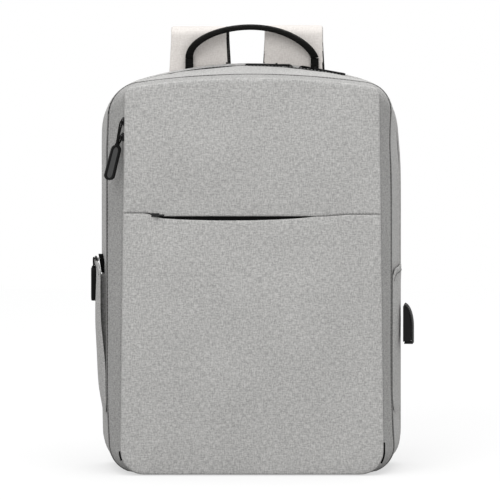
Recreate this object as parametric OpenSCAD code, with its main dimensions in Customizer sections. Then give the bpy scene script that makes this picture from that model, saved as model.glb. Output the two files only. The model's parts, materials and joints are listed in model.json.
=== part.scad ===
// Slim laptop backpack with a charging port on its side.
// The bag stands on its base: +Z is up, the front faces -Y, and +X is on the right of a person
// who looks at the front. The origin is the centre of the base. Millimetres.

/* [Body] */
// Width of the front face at its top
face_top_w = 254; // [220:1:280]
// Width of the front face at its base
face_base_w = 264; // [222:1:290]
// Width at the seam between the front wing and the main gusset
seam_w = 284; // [270:1:310]
// Width at the back
back_w = 298; // [284:1:330]
// Height of the crown of the front face
face_h = 400; // [360:1:440]
// Height of the crown at the gusset seam
seam_h = 399; // [360:1:440]
// Height of the crown at the back
back_h = 403; // [360:1:445]
// Depth of the whole body, front face to back panel
body_d = 120; // [105:1:150]
// Depth of the front compartment
front_d = 40; // [32:1:50]
// Thickness of the padded fabric walls
wall = 3; // [2:0.5:4]

/* [Corners] */
// Radius of the front face's top corners
face_top_r = 10; // [6:1:20]
// Radius of the front face's bottom corners
face_base_r = 24; // [8:1:30]
// Radius of the gusset seam's top corners
seam_top_r = 32; // [20:1:45]
// Radius of the gusset seam's bottom corners
seam_base_r = 27; // [20:1:50]
// Radius of the back's top corners
back_top_r = 52; // [35:1:60]
// Radius of the back's bottom corners
back_base_r = 32; // [20:1:60]
// Radius of the face's domed top edge
face_dome_r = 840; // [500:10:1200]
// Radius of the gusset seam's domed top edge
seam_dome_r = 800; // [500:10:1200]
// Radius of the back's domed top edge
back_dome_r = 400; // [360:10:800]

/* [Front cover] */
// Thickness of one fabric and foam layer of the cover
cover_t = 2.5; // [1.5:0.5:3]
// Height of the pocket seam, where the upper panel ends
pocket_seam_z = 264.5; // [220:0.5:300]
// Width of the pocket's mouth
pocket_mouth_w = 169; // [120:1:180]
// Offset of the mouth's middle to the left
pocket_mouth_x = -16.5; // [-20:0.5:0]
// Height of the slit at its ends
pocket_slit = 4.2; // [4:0.1:6]
// How far the lower lip sags at its middle
lip_sag = 2; // [0:0.5:5]
// Free depth inside the front pocket
pocket_gap = 5.5; // [4.5:0.5:8]

/* [Side pockets] */
// Depth of the side pockets along the wall
side_pocket_w = 62; // [45:1:64]
// Height of the side pockets' lower edge
side_pocket_low = 58; // [52:1:80]
// Height of the left pocket's zipped mouth
left_mouth_z = 206; // [180:1:230]
// Height of the right pocket's hem
right_mouth_z = 200; // [180:1:230]
// How far the left pocket stands off the wall inside
left_bulge = 6.2; // [4.8:0.1:10]
// How far the right pocket stands off the wall inside
right_bulge = 5.4; // [4.8:0.1:10]
// Thickness of the pocket fabric
pocket_t = 1.5; // [1:0.1:2]

/* [Charging port] */
// Height of the port housing
port_h = 36; // [30:1:45]
// Depth of the port housing along the wall
port_w = 18; // [16:1:24]
// How far the housing stands out
port_out = 7.9; // [7.9:0.1:10]
// Height of the housing's lower end
port_z = 128; // [110:1:140]

/* [Zip pulls] */
// Length of a rubber grip
grip_l = 36; // [25:1:45]
// Width of a rubber grip
grip_w = 10; // [7:0.5:12]
// Thickness of a rubber grip
grip_t = 4; // [3:0.5:5]
// Radius of the pull cord
cord_r = 0.8; // [0.6:0.1:1]

/* [Back and straps] */
// Thickness of the back's padded board
back_t = 7.4; // [5:0.1:9]
// Thickness of the air-mesh pads on the back
pad_t = 5.6; // [4:0.1:8]
// Width of a shoulder strap
strap_w = 61; // [50:1:70]
// Centre of the left strap
left_strap_x = -52; // [-60:1:-46]
// Centre of the right strap
right_strap_x = 42; // [34:1:60]
// Height of the straps' fold above the base, outside
strap_top_z = 440; // [430:1:460]
// Height of the carry handle's crown
handle_top_z = 443; // [430:1:460]
// Half the handle's width between its legs
handle_half_w = 63; // [50:1:75]

/* [Inside] */
// Free depth of the laptop sleeve
sleeve_gap = 22; // [15:1:28]
// Height of the laptop sleeve
sleeve_h = 285; // [240:1:320]
// Width of the laptop sleeve
sleeve_w = 246; // [220:1:250]

/* [Hidden] */
$fn = 48;

// Clearances
gap = 0.3;          // between pieces that lie on each other
sliver = 0.15;      // half the parting between two sewn edges

// Colours
grey_cloth = [0.69, 0.69, 0.68];
wing_cloth = [0.60, 0.60, 0.59];
strap_cloth = [0.78, 0.76, 0.74];
lining = [0.35, 0.35, 0.37];
black = [0.10, 0.10, 0.10];
dark_rubber = [0.20, 0.20, 0.20];
steel = [0.75, 0.75, 0.78];

// Stations along the depth
y_front = -body_d / 2;
y_back = body_d / 2;
y_seam = y_front + front_d;
tape_w = 3;
y_panel = y_back - back_t;                      // front side of the back panel
y_tape = y_panel - gap - tape_w;                // front edge of the main zip tape
y_gusset_end = y_tape - gap;
y_cover_back = y_front + cover_t;               // back side of the cover's outer layer
y_front_tape = y_cover_back + gap;
y_front_gusset = y_front_tape + tape_w + gap;

// ---- Outlines ------------------------------------------------------------------------------

// How many steps each stretch of an outline takes
base_steps = 2;
corner_steps = 8;
side_steps = 4;
dome_steps = 8;
half_count = base_steps + 2 * corner_steps + side_steps + dome_steps;
ring_count = 2 * half_count;
hinge_index = base_steps + corner_steps;        // where a bottom corner meets the side

function mix(a, b, t) = a + (b - a) * t;
function arc(cx, cz, r, from, to, steps) =
    [for (i = [1:steps]) let (a = mix(from, to, i / steps)) [cx + r * cos(a), cz + r * sin(a)]];

// Right half of an outline, from the base's middle to the crown
function half_outline(hw, crown, dome, top_r, base_r) =
    let (lean = asin((hw - top_r) / (dome - top_r)),
        top_cz = crown - dome + (dome - top_r) * cos(lean))
    concat([for (i = [0:base_steps]) [(hw - base_r) * i / base_steps, 0]],
        arc(hw - base_r, base_r, base_r, -90, 0, corner_steps),
        [for (i = [1:side_steps]) [hw, mix(base_r, top_cz, i / side_steps)]],
        arc(hw - top_r, top_cz, top_r, 0, 90 - lean, corner_steps),
        arc(0, crown - dome, dome, 90 - lean, 90, dome_steps));
function spread(points, crown, share) =
    [for (p = points) [p[0] * (1 + share * (1 - p[1] / crown)), p[1]]];
function full_outline(half) =
    concat(half, [for (i = [len(half) - 2:-1:1]) [-half[i][0], half[i][1]]]);

face_ring = full_outline(spread(half_outline(face_top_w / 2, face_h, face_dome_r, face_top_r,
    face_base_r), face_h, face_base_w / face_top_w - 1));
seam_ring = full_outline(half_outline(seam_w / 2, seam_h, seam_dome_r, seam_top_r, seam_base_r));
back_ring = full_outline(half_outline(back_w / 2, back_h, back_dome_r, back_top_r, back_base_r));

// Outline of the bag's outside at a depth y
function outline_at(y) = let (
        front = (y - y_front) / (y_seam - y_front), rear = (y - y_seam) / (y_back - y_seam))
    [for (i = [0:ring_count - 1]) y < y_seam ? mix(face_ring[i], seam_ring[i], front)
        : mix(seam_ring[i], back_ring[i], rear)];
function unit(v) = v / norm(v);
function normal_at(points, i) = let (
        along = unit(points[(i + 1) % len(points)] - points[(i + len(points) - 1) % len(points)]))
    [along[1], -along[0]];
// The same outline moved outwards by d
function moved(points, d) = [for (i = [0:len(points) - 1]) points[i] + d * normal_at(points, i)];

// ---- Building blocks -----------------------------------------------------------------------

// The two triangles of a quad
function quad(a, b, c, d) = [[a, b, c], [a, c, d]];
// The ends of a skin whose sections are thin strips: each point is joined to the one across from it
function strip_ends(k, last) = [for (j = [0:k / 2 - 2]) each concat(quad(j, j + 1, k - 2 - j, k - 1 - j),
    quad(last + k - 1 - j, last + k - 2 - j, last + j + 1, last + j))];
// A solid through a list of sections with equal point counts; closed joins last to first
module skin(sections, closed = false, strip = false) {
    n = len(sections);
    k = len(sections[0]);
    last = closed ? n - 1 : n - 2;
    polyhedron(points = [for (s = sections) each s], convexity = 8, faces = concat(
        [for (i = [0:last], j = [0:k - 1]) let (i1 = (i + 1) % n, j1 = (j + 1) % k)
            each quad(i * k + j, i1 * k + j, i1 * k + j1, i * k + j1)],
        closed ? [] : strip ? strip_ends(k, (n - 1) * k)
            : [[for (j = [0:k - 1]) j], [for (j = [k - 1:-1:0]) (n - 1) * k + j]]));
}

// A wall along the outline: profile is a list of [depth y, distance out of the outline]
module wall_band(profile, first = 0, count = ring_count) {
    rings = [for (p = profile) moved(outline_at(p[0]), p[1])];
    skin([for (s = [0:count - (count == ring_count ? 1 : 0)]) let (i = (first + s) % ring_count)
        [for (k = [0:len(profile) - 1]) [rings[k][i][0], profile[k][0], rings[k][i][1]]]],
        count == ring_count);
}
function slab(y0, y1, d0, d1) = [[y0, d1], [y1, d1], [y1, d0], [y0, d0]];

// A flat sheet of the given outline between two depths
module sheet_between(y0, y1) {
    translate([0, y1, 0]) rotate([90, 0, 0]) linear_extrude(y1 - y0) children();
}
module block(x0, x1, y0, y1, z0, z1) {
    translate([x0, y0, z0]) cube([x1 - x0, y1 - y0, z1 - z0]);
}
module round_rect(x0, x1, z0, z1, r) {
    translate([x0 + r, z0]) square([x1 - x0 - 2 * r, z1 - z0]);
    translate([x0, z0 + r]) square([x1 - x0, z1 - z0 - 2 * r]);
    for (x = [x0 + r, x1 - r], z = [z0 + r, z1 - r]) translate([x, z]) circle(r);
}

// ---- Shell ---------------------------------------------------------------------------------

// The bevelled wing round the front compartment
module front_gusset() {
    color(wing_cloth) wall_band(slab(y_front_gusset, y_seam - sliver, -wall, 0));
}
// How far the zip tapes sit inside the outline
tape_inset = 0.4;
// The sewn edge under the front cover, along the base
module front_hem_strip() {
    color(wing_cloth) wall_band(slab(y_front_tape, y_front_gusset - gap, -wall, -tape_inset),
        ring_count - hinge_index, 2 * hinge_index);
}
// The hidden zip of the front compartment, up both sides and over the top
module front_zip_tape() {
    color(black) wall_band(slab(y_front_tape, y_front_gusset - gap, -wall, -tape_inset),
        hinge_index + 1, ring_count - 2 * hinge_index - 2);
}
module main_gusset() {
    color(grey_cloth) wall_band(slab(y_seam + sliver, y_gusset_end, -wall, 0));
}
module main_zip_tape() {
    color(black) wall_band(slab(y_tape, y_panel - gap, -wall, -tape_inset),
        hinge_index + 1, ring_count - 2 * hinge_index - 2);
}
// The binding sewn inside over the seam between the two gussets
binding_half_w = 4;
binding_t = 1;
binding_in = wall + gap;
binding_sag = 1.2;                                // how far the binding cuts across the seam's bend
module seam_binding() {
    color(lining) wall_band(slab(y_seam - binding_half_w, y_seam + binding_half_w,
        -binding_in - binding_t, -binding_in));
}
// The stiff board in the bottom
board_t = 3;
board_edge = 4;
module base_board() {
    half = seam_w / 2 - seam_base_r - board_edge;
    color(lining) block(-half, half, y_seam + binding_half_w + gap, y_gusset_end - board_edge,
        wall + gap, wall + gap + board_t);
}
// The padded wall between the two compartments
divider_t = 2.5;
module divider_panel() {
    color(lining) sheet_between(y_seam - divider_t / 2, y_seam + divider_t / 2)
        polygon(moved(seam_ring, -binding_in - binding_t - binding_sag - gap));
}
y_divider = y_seam - divider_t / 2;

// A tray that is open at its top and towards its back: walls t thick, between two depths
module tray(x0, x1, y0, y1, z0, z1, t) {
    difference() {
        block(x0, x1, y0, y1, z0, z1);
        block(x0 + t, x1 - t, y0 + t, y1 + 1, z0 + t, z1 + 1);
    }
}
organiser_half_w = 112;
organiser_low = 20;
organiser_high = 185;
organiser_gap = 7;
organiser_t = 1.2;
module organiser_pocket() {
    color(lining) tray(-organiser_half_w, organiser_half_w, y_divider - gap - organiser_gap,
        y_divider - gap, organiser_low, organiser_high, organiser_t);
}
pen_pocket_w = 70;
module pen_pocket() {
    color(lining) tray(-organiser_half_w, -organiser_half_w + pen_pocket_w,
        y_divider - gap - organiser_gap, y_divider - gap, organiser_high + 2 * gap, organiser_high + 85,
        organiser_t);
}

// ---- Side walls ----------------------------------------------------------------------------

// The straight stretch of the main gusset's side, as a frame: X runs back along the wall,
// Y runs into the bag, Z is up. side is 1 on the right and -1 on the left.
wall_run = y_back - y_seam;
wall_lean = atan((back_w - seam_w) / 2 / wall_run);
// A point of the right wall, u back along it, n out of it
function on_wall(u, n, z) = [seam_w / 2 + u * sin(wall_lean) + n * cos(wall_lean),
    y_seam + u * cos(wall_lean) - n * sin(wall_lean), z];
pocket_first_u = 2;
pocket_u_steps = 14;
pocket_z_steps = 12;
pocket_flatness = 4;
// Share of the pocket's full bulge, across and up the pocket
function bulge_share(a, b) = (1 - pow(abs(2 * a - 1), pocket_flatness)) * (1 - pow(1 - b, 3));

// A sheet along the wall: rows is a list of [height, bulge share up the pocket], and extra is added
// to its thickness
module wall_sheet(bulge, rows, extra = 0) {
    skin([for (r = rows) concat(
            [for (i = [0:pocket_u_steps]) let (a = i / pocket_u_steps)
                on_wall(pocket_first_u + a * side_pocket_w,
                    gap + pocket_t + extra + bulge * bulge_share(a, r[1]), r[0])],
            [for (i = [pocket_u_steps:-1:0]) let (a = i / pocket_u_steps)
                on_wall(pocket_first_u + a * side_pocket_w, gap + bulge * bulge_share(a, r[1]), r[0])])],
        strip = true);
}
module side_pocket(bulge, mouth_z) {
    wall_sheet(bulge, [for (j = [0:pocket_z_steps]) let (b = j / pocket_z_steps)
        [mix(side_pocket_low, mouth_z, b), b]]);
}
hem_h = 5;
hem_extra = 0.6;
module pocket_hem(bulge, mouth_z) {
    low = mouth_z + gap / 2;
    wall_sheet(bulge, [[low, 1], [low + hem_h, 1]], hem_extra);
}
module left_pocket_panel() {
    color(grey_cloth) mirror([1, 0, 0]) side_pocket(left_bulge, left_mouth_z);
}
module left_pocket_zip() {
    color(black) mirror([1, 0, 0]) pocket_hem(left_bulge, left_mouth_z);
}
module right_pocket_panel() { color(grey_cloth) side_pocket(right_bulge, right_mouth_z); }
module right_pocket_hem() { color(grey_cloth) pocket_hem(right_bulge, right_mouth_z); }

// ---- Charging port -------------------------------------------------------------------------

// The port's frame: X out of the pocket, Y back along the wall, origin at its lower end
port_u = pocket_first_u + side_pocket_w / 2;
port_seat = gap + pocket_t + right_bulge + gap;
port_flat_h = 14;                // straight part of the housing's outer side
port_chamfer = 1;
port_cover_t = 1.5;
port_cover_gap = 0.35;
port_lip_gap = 0.9;
port_cover_inset = 1;
port_cover_root = 0.75;          // the flap starts this far out, clear of the pocket behind it
socket_x = 5.9;
socket_y = 13.3;
socket_depth = 16;
socket_wall = 0.35;
tongue_x = 1.8;
tongue_y = 11;
tongue_l = 10;
module port_frame() {
    translate(on_wall(port_u, port_seat, port_z)) rotate([0, 0, -wall_lean]) children();
}
port_curve_steps = 12;
// Outer side of the housing grown by g, from root out at the top down to the straight part
function port_curve(g, root = 0) = [for (i = [0:port_curve_steps])
    let (a = mix(asin(root / (port_out + g)), 90, i / port_curve_steps))
    [(port_out + g) * sin(a), port_flat_h + (port_h - port_flat_h + g) * cos(a)]];
module port_slice(w) { rotate([90, 0, 0]) translate([0, 0, -w / 2]) linear_extrude(w) children(); }
module port_housing() {
    color(black) port_frame() difference() {
        port_slice(port_w) polygon(concat(port_curve(0),
            [[port_out, port_chamfer], [port_out - port_chamfer, 0], [0, 0]]));
        translate([port_out / 2 - socket_x / 2, -socket_y / 2, -1])
            cube([socket_x, socket_y, socket_depth + 1]);
    }
}
module port_shell() {
    color(steel) port_frame() translate([port_out / 2, 0, 0]) difference() {
        translate([-socket_x / 2 + sliver / 2, -socket_y / 2 + sliver / 2, port_cover_gap])
            cube([socket_x - sliver, socket_y - sliver, socket_depth - 2 * port_cover_gap]);
        translate([-socket_x / 2 + socket_wall, -socket_y / 2 + socket_wall, -1])
            cube([socket_x - 2 * socket_wall, socket_y - 2 * socket_wall, socket_depth - 1]);
    }
}
module port_tongue() {
    color(black) port_frame() translate([port_out / 2 - tongue_x / 2, -tongue_y / 2,
        socket_depth - 2 - tongue_l - sliver]) cube([tongue_x, tongue_y, tongue_l]);
}
// The rubber flap, hinged at its top, over the housing's outer side and its lower end
module port_cover() {
    outer = port_cover_gap + port_cover_t;
    inner_curve = port_curve(port_cover_gap, port_cover_root);
    color(dark_rubber) port_frame() port_slice(port_w - 2 * port_cover_inset) polygon(concat(
        port_curve(outer, port_cover_root), [[port_out + outer, -port_lip_gap - port_cover_t],
            [port_chamfer, -port_lip_gap - port_cover_t], [port_chamfer, -port_lip_gap],
            [port_out + port_cover_gap, -port_lip_gap]],
        [for (i = [port_curve_steps:-1:0]) inner_curve[i]]));
}

// ---- Front cover ---------------------------------------------------------------------------

pocket_lip_z = pocket_seam_z - pocket_slit;
mouth_left = pocket_mouth_x - pocket_mouth_w / 2;
mouth_right = pocket_mouth_x + pocket_mouth_w / 2;
lip_steps = 12;
cover_low = 1;                                   // lowest edge of the cover above the base
module face_slice(z0, z1) {
    intersection() {
        polygon(face_ring);
        translate([-face_base_w, z0]) square([2 * face_base_w, z1 - z0]);
    }
}
module front_upper_panel() {
    color(grey_cloth) sheet_between(y_front, y_cover_back) difference() {
        face_slice(pocket_lip_z + sliver, face_h + 1);
        translate([mouth_left, pocket_lip_z]) square([pocket_mouth_w, pocket_slit]);
    }
}
module front_pocket_panel() {
    color(grey_cloth) sheet_between(y_front, y_cover_back) difference() {
        face_slice(cover_low, pocket_lip_z - sliver);
        polygon(concat([for (i = [0:lip_steps]) let (a = i / lip_steps)
                [mix(mouth_left, mouth_right, a), pocket_lip_z - sliver - lip_sag * 4 * a * (1 - a)]],
            [[mouth_right, pocket_lip_z + 1], [mouth_left, pocket_lip_z + 1]]));
    }
}
// The tray behind the pocket's front, sewn to the inside of the cover
backing_half_w = 116;
backing_low = 14;
backing_high = 280;
backing_t = 1.5;
module front_pocket_backing() {
    color(lining) difference() {
        block(-backing_half_w, backing_half_w, y_cover_back + gap / 2,
            y_cover_back + gap / 2 + pocket_gap + backing_t, backing_low, backing_high);
        block(-backing_half_w + backing_t, backing_half_w - backing_t, y_cover_back - 1,
            y_cover_back + gap / 2 + pocket_gap, backing_low + backing_t, backing_high - backing_t);
    }
}
// The zip behind the slit: its upper tape is sewn under the upper panel
zip_cloth_t = 1;
zip_cloth_h = 8;
module front_pocket_zip() {
    color(black) block(mouth_left - 4, mouth_right + 4, y_cover_back + gap / 2,
        y_cover_back + gap / 2 + zip_cloth_t, pocket_lip_z - zip_cloth_h / 4,
        pocket_seam_z + zip_cloth_h);
}
pocket_slider_l = 8;
pocket_slider_out = 0.8;
pocket_pull_pin = 0.8;                            // radius of the pull's vertical pin
pin_clearance = 0.08;
pocket_slider_x = mouth_left + pocket_slider_l / 2 + gap;
pocket_pull_t = 1.2;
pocket_pull_l = 9;
slit_mid = pocket_lip_z + pocket_slit / 2;
module pocket_slider_place() { translate([pocket_slider_x, y_front, slit_mid]) children(); }
slider_h = pocket_slit - 2 * gap;
ear_t = 0.9;
// A low slider that runs in the slit, with two ears for the pull's pin
module front_pocket_slider() {
    color(black) pocket_slider_place() difference() {
        union() {
            block(-pocket_slider_l / 2, pocket_slider_l / 2, -pocket_slider_out, cover_t - gap / 2,
                -slider_h / 2, slider_h / 2);
            for (z = [-slider_h / 2, slider_h / 2 - ear_t])
                block(-1.6, 1.6, -pocket_slider_out - 2.6, -pocket_slider_out, z, z + ear_t);
        }
        translate([0, -pocket_slider_out - 1.3, -slider_h])
            cylinder(h = 2 * slider_h, r = pocket_pull_pin + pin_clearance);
    }
}
module front_pocket_pull() {
    tab_h = slider_h - 2 * ear_t - 2 * sliver;
    color(black) pocket_slider_place() translate([0, -pocket_slider_out - 1.3, 0]) {
        translate([0, 0, -slider_h / 2]) cylinder(h = slider_h, r = pocket_pull_pin);
        block(0, pocket_pull_l, -pocket_pull_t / 2, pocket_pull_t / 2, -tab_h / 2, tab_h / 2);
    }
}

// ---- Zip sliders and pulls -----------------------------------------------------------------

// Their frame: origin at the pull's pivot, X along the pivot, Y into the tape, pull towards -Z
pivot_out = 4.4;                                  // pivot above the tape
slider_w = 9;
slider_l = 11;
plate_t = 1.7;
bridge_w = 3;
bridge_l = 6;
bridge_out = 2.2;
eye_r = 1.25;
loop_half = 2.6;
loop_drop = 4.4;                                  // straight part beside the bridge
neck_half = 0.9;
grip_hold = 3;                                    // how deep the cord ends sit in the grip
module zip_slider() {
    color(black) difference() {
        union() {
            block(-slider_w / 2, slider_w / 2, pivot_out - gap - plate_t, pivot_out - gap,
                -slider_l / 2, slider_l / 2);
            block(-bridge_w / 2, bridge_w / 2, -bridge_out, pivot_out - gap - plate_t,
                -bridge_l / 2, bridge_l / 2);
        }
        translate([-slider_w, 0, 0]) rotate([0, 90, 0]) cylinder(h = 2 * slider_w, r = eye_r);
    }
}
// A cord loop through the slider's eye; shift moves its lower end along the pivot
cord_sides = 8;
function cord_route(length, shift) = [
    [shift - neck_half, -length - grip_hold], [shift - neck_half, -length], [-loop_half, -loop_drop],
    [-loop_half, -cord_r], [-loop_half + cord_r, 0], [loop_half - cord_r, 0], [loop_half, -cord_r],
    [loop_half, -loop_drop], [shift + neck_half, -length], [shift + neck_half, -length - grip_hold]];
module pull_cord(length, shift = 0) {
    route = cord_route(length, shift);
    last = len(route) - 1;
    color(black) skin([for (i = [0:last]) let (
            along = unit(unit(route[min(i + 1, last)] - route[i == last ? last - 1 : i])
                + unit(route[i == 0 ? 1 : i] - route[max(i - 1, 0)])), side = [along[1], -along[0]])
        [for (j = [0:cord_sides - 1]) let (a = 360 * j / cord_sides)
            [route[i][0] + cord_r * cos(a) * side[0], cord_r * sin(a), route[i][1] + cord_r * cos(a) * side[1]]]]);
}
grip_recess = 0.5;
grip_rim = 1.6;
module stadium(l, w) {
    translate([-w / 2, -l + w / 2]) square([w, l - w]);
    for (z = [-w / 2, -l + w / 2]) translate([0, z]) circle(w / 2);
}
// A moulded rubber grip with a shallow panel on both faces; turn is 90 where it lies flat
module pull_grip(length, width = grip_w, cord = 20, shift = 0, turn = 0) {
    color(dark_rubber) translate([shift, 0, -cord]) difference() {
        rotate([0, 0, turn]) rotate([90, 0, 90]) translate([0, 0, -grip_t / 2]) difference() {
            linear_extrude(grip_t) stadium(length, width);
            for (z = [-1, grip_t - grip_recess]) translate([0, -grip_rim, z])
                linear_extrude(1 + grip_recess) stadium(length - 2 * grip_rim, width - 2 * grip_rim);
        }
        for (s = [-1, 1]) translate([s * neck_half, 0, -grip_hold])
            cylinder(h = grip_hold + 1, r = cord_r);
    }
}

// The wing beside the left fold, as a frame with the same axes; run is the height on it
slider_y = y_front_tape + tape_w / 2;
function wing_x(y, z) = let (t = (y - y_front) / front_d, face_x = face_top_w / 2
    * (1 + (face_base_w / face_top_w - 1) * (1 - z / face_h))) mix(face_x, seam_w / 2, t);
wing_lean = atan((seam_w - face_top_w) / 2 / front_d);
module wing_frame(z) {
    translate([-wing_x(slider_y, z), slider_y, z]) rotate([0, 0, -90 + wing_lean])
        translate([0, -pivot_out, 0]) children();
}
upper_pull_z = 356;
lower_pull_z = 340.5;
pull_tilt = 15;                                   // the pulls rest tilted on the wing
upper_cord_l = 24;
lower_cord_l = 8.5;
upper_shift = 2.4;
lower_shift = -2.4;
module upper_slider() { wing_frame(upper_pull_z) zip_slider(); }
module upper_pull_cord() {
    wing_frame(upper_pull_z) rotate([-pull_tilt, 0, 0]) pull_cord(upper_cord_l, upper_shift);
}
module upper_pull_grip() {
    wing_frame(upper_pull_z) rotate([-pull_tilt, 0, 0])
        pull_grip(grip_l, cord = upper_cord_l, shift = upper_shift);
}
module lower_slider() { wing_frame(lower_pull_z) zip_slider(); }
module lower_pull_cord() {
    wing_frame(lower_pull_z) rotate([-pull_tilt, 0, 0]) pull_cord(lower_cord_l, lower_shift);
}
module lower_pull_grip() {
    wing_frame(lower_pull_z) rotate([-pull_tilt, 0, 0])
        pull_grip(grip_l, cord = lower_cord_l, shift = lower_shift);
}

// The left side pocket's slider, on the hem at the middle of the mouth
side_slider_z = left_mouth_z + slider_l / 2;
side_cord_l = 9;
side_grip_l = 30;
side_grip_w = 8;
module side_frame() {
    mirror([1, 0, 0]) translate(on_wall(pocket_first_u + side_pocket_w / 2,
        gap + pocket_t + hem_extra + left_bulge, side_slider_z))
        rotate([0, 0, 90 - wall_lean]) translate([0, -pivot_out, 0]) children();
}
module side_slider() { side_frame() zip_slider(); }
module side_pull_cord() { side_frame() pull_cord(side_cord_l); }
module side_pull_grip() {
    side_frame() pull_grip(side_grip_l, width = side_grip_w, cord = side_cord_l, turn = 90);
}

// The two sliders of the main zip, nose to nose on the top, their pulls lying along the zip
main_left_x = 37;
main_right_x = 50;
main_cord_l = 13;
main_grip_l = 34;
main_grip_w = 8;
slider_tape_y = y_tape + tape_w / 2;
// dir is -1 where the pull lies to the left and 1 where it lies to the right
module top_frame(x, dir) {
    lean = asin(x / back_dome_r);
    translate([x, slider_tape_y, back_h - back_dome_r * (1 - cos(lean))]) rotate([0, lean, 0])
        translate([0, 0, pivot_out]) rotate([0, 0, dir < 0 ? 0 : 180]) rotate([-90, 0, 0])
        rotate([0, 90, 0]) children();
}
module main_left_slider() { top_frame(main_left_x, -1) zip_slider(); }
module main_left_pull_cord() { top_frame(main_left_x, -1) pull_cord(main_cord_l); }
module main_left_pull_grip() {
    top_frame(main_left_x, -1) pull_grip(main_grip_l, width = main_grip_w, cord = main_cord_l, turn = 90);
}
module main_right_slider() { top_frame(main_right_x, 1) zip_slider(); }
module main_right_pull_cord() { top_frame(main_right_x, 1) pull_cord(main_cord_l); }
module main_right_pull_grip() {
    top_frame(main_right_x, 1) pull_grip(main_grip_l, width = main_grip_w, cord = main_cord_l, turn = 90);
}

// ---- Back section --------------------------------------------------------------------------

back_low = 1;
module back_panel() {
    color(grey_cloth) sheet_between(y_panel, y_back) intersection() {
        polygon(back_ring);
        translate([-back_w, back_low]) square([2 * back_w, back_h]);
    }
}
pad_in = 16;
pad_out = 108;
pad_low = 60;
pad_high = 345;
pad_r = 18;
y_pad = y_back + gap;
module back_pad(side) {
    color(lining) sheet_between(y_pad, y_pad + pad_t)
        round_rect(side < 0 ? -pad_out : pad_in, side < 0 ? -pad_in : pad_out, pad_low, pad_high, pad_r);
}
module left_back_pad() { back_pad(-1); }
module right_back_pad() { back_pad(1); }
// The reinforcement that the straps are sewn under
yoke_low = 356;
yoke_high = 384;
yoke_t = 1.8;
yoke_edge = 8;
strap_t = 6;
y_strap = y_back + gap;                           // front side of the straps' roots
y_yoke = y_strap + strap_t + gap;
module strap_yoke() {
    color(black) block(left_strap_x - strap_w / 2 - yoke_edge, right_strap_x + strap_w / 2 + yoke_edge,
        y_yoke, y_yoke + yoke_t, yoke_low, yoke_high);
}
// The band that slips over a suitcase's handle, sewn down at both ends
band_low = 190;
band_high = 262;
band_half_w = 128;
band_t = 1.6;
band_off = 11.4;                                  // from the back panel to the band
band_seat = 14;
module luggage_band() {
    color(grey_cloth) difference() {
        block(-band_half_w, band_half_w, y_pad, y_back + band_off + band_t, band_low, band_high);
        block(-band_half_w + band_t, band_half_w - band_t, y_pad - 1, y_back + band_off,
            band_low - 1, band_high + 1);
    }
    color(grey_cloth) for (x = [-band_half_w, band_half_w - band_seat])
        block(x, x + band_seat, y_pad, y_pad + band_t, band_low, band_high);
}
// The padded laptop sleeve inside, open at its top
sleeve_low = 16;
sleeve_t = 3;
y_sleeve = y_panel - gap - sleeve_gap - sleeve_t;
module laptop_sleeve() {
    color(lining) tray(-sleeve_w / 2, sleeve_w / 2, y_sleeve, y_panel - gap, sleeve_low,
        sleeve_low + sleeve_h, sleeve_t);
}
// The hook-and-loop strap over the sleeve's mouth
sleeve_strap_w = 38;
sleeve_strap_t = 2;
sleeve_strap_rise = 12;
sleeve_strap_drop = 30;
module sleeve_strap() {
    top = sleeve_low + sleeve_h + sleeve_strap_rise;
    half = sleeve_strap_w / 2;
    front = y_sleeve - gap - sleeve_strap_t;
    color(lining) {
        block(-half, half, front, y_panel - gap, top, top + sleeve_strap_t);
        block(-half, half, front, front + sleeve_strap_t, top - sleeve_strap_rise - sleeve_strap_drop, top);
        block(-half, half, y_panel - gap - sleeve_strap_t, y_panel - gap, top - sleeve_strap_rise + gap,
            top);
    }
}

// ---- Carry handle --------------------------------------------------------------------------

foot_w = 8;
foot_t = 4.4;
foot_top_z = 408.5;
handle_back_y = y_back - gap;
handle_crown_w = 16;
handle_crown_t = 5;
handle_steps = 28;
// Height of the back's domed edge at x
function back_edge_z(x) = back_h - back_dome_r + sqrt(pow(back_dome_r, 2) - pow(x, 2));
module handle_foot(side) {
    inner = handle_half_w - foot_w / 2;
    color(black) block(side * handle_half_w - foot_w / 2, side * handle_half_w + foot_w / 2,
        handle_back_y - foot_t, handle_back_y, back_edge_z(inner) + gap, foot_top_z);
}
module left_handle_foot() { handle_foot(-1); }
module right_handle_foot() { handle_foot(1); }
// The arch's centre line: a flattened half round between the two feet
function arch_x(a) = -handle_half_w * cos(a);
function arch_z(a) = foot_top_z + gap
    + (handle_top_z - handle_crown_t / 2 - foot_top_z - gap) * pow(sin(a), 0.95);
module carry_handle() {
    color(black) skin([for (i = [0:handle_steps]) let (a = 180 * i / handle_steps,
            rise = sin(a), ahead = [arch_x(min(a + 1, 180)), arch_z(min(a + 1, 180))],
            behind = [arch_x(max(a - 1, 0)), arch_z(max(a - 1, 0))],
            along = i == 0 ? [0, 1] : i == handle_steps ? [0, -1] : unit(ahead - behind),
            side = [along[1], -along[0]], half_t = mix(foot_w, handle_crown_t, rise) / 2,
            w = mix(foot_t, handle_crown_w, min(1, rise * 1.6)), x = arch_x(a), z = arch_z(a))
        [[x + side[0] * half_t, handle_back_y, z + side[1] * half_t],
            [x - side[0] * half_t, handle_back_y, z - side[1] * half_t],
            [x - side[0] * half_t, handle_back_y - w, z - side[1] * half_t],
            [x + side[0] * half_t, handle_back_y - w, z + side[1] * half_t]]]);
}

// ---- Shoulder straps -----------------------------------------------------------------------

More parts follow.
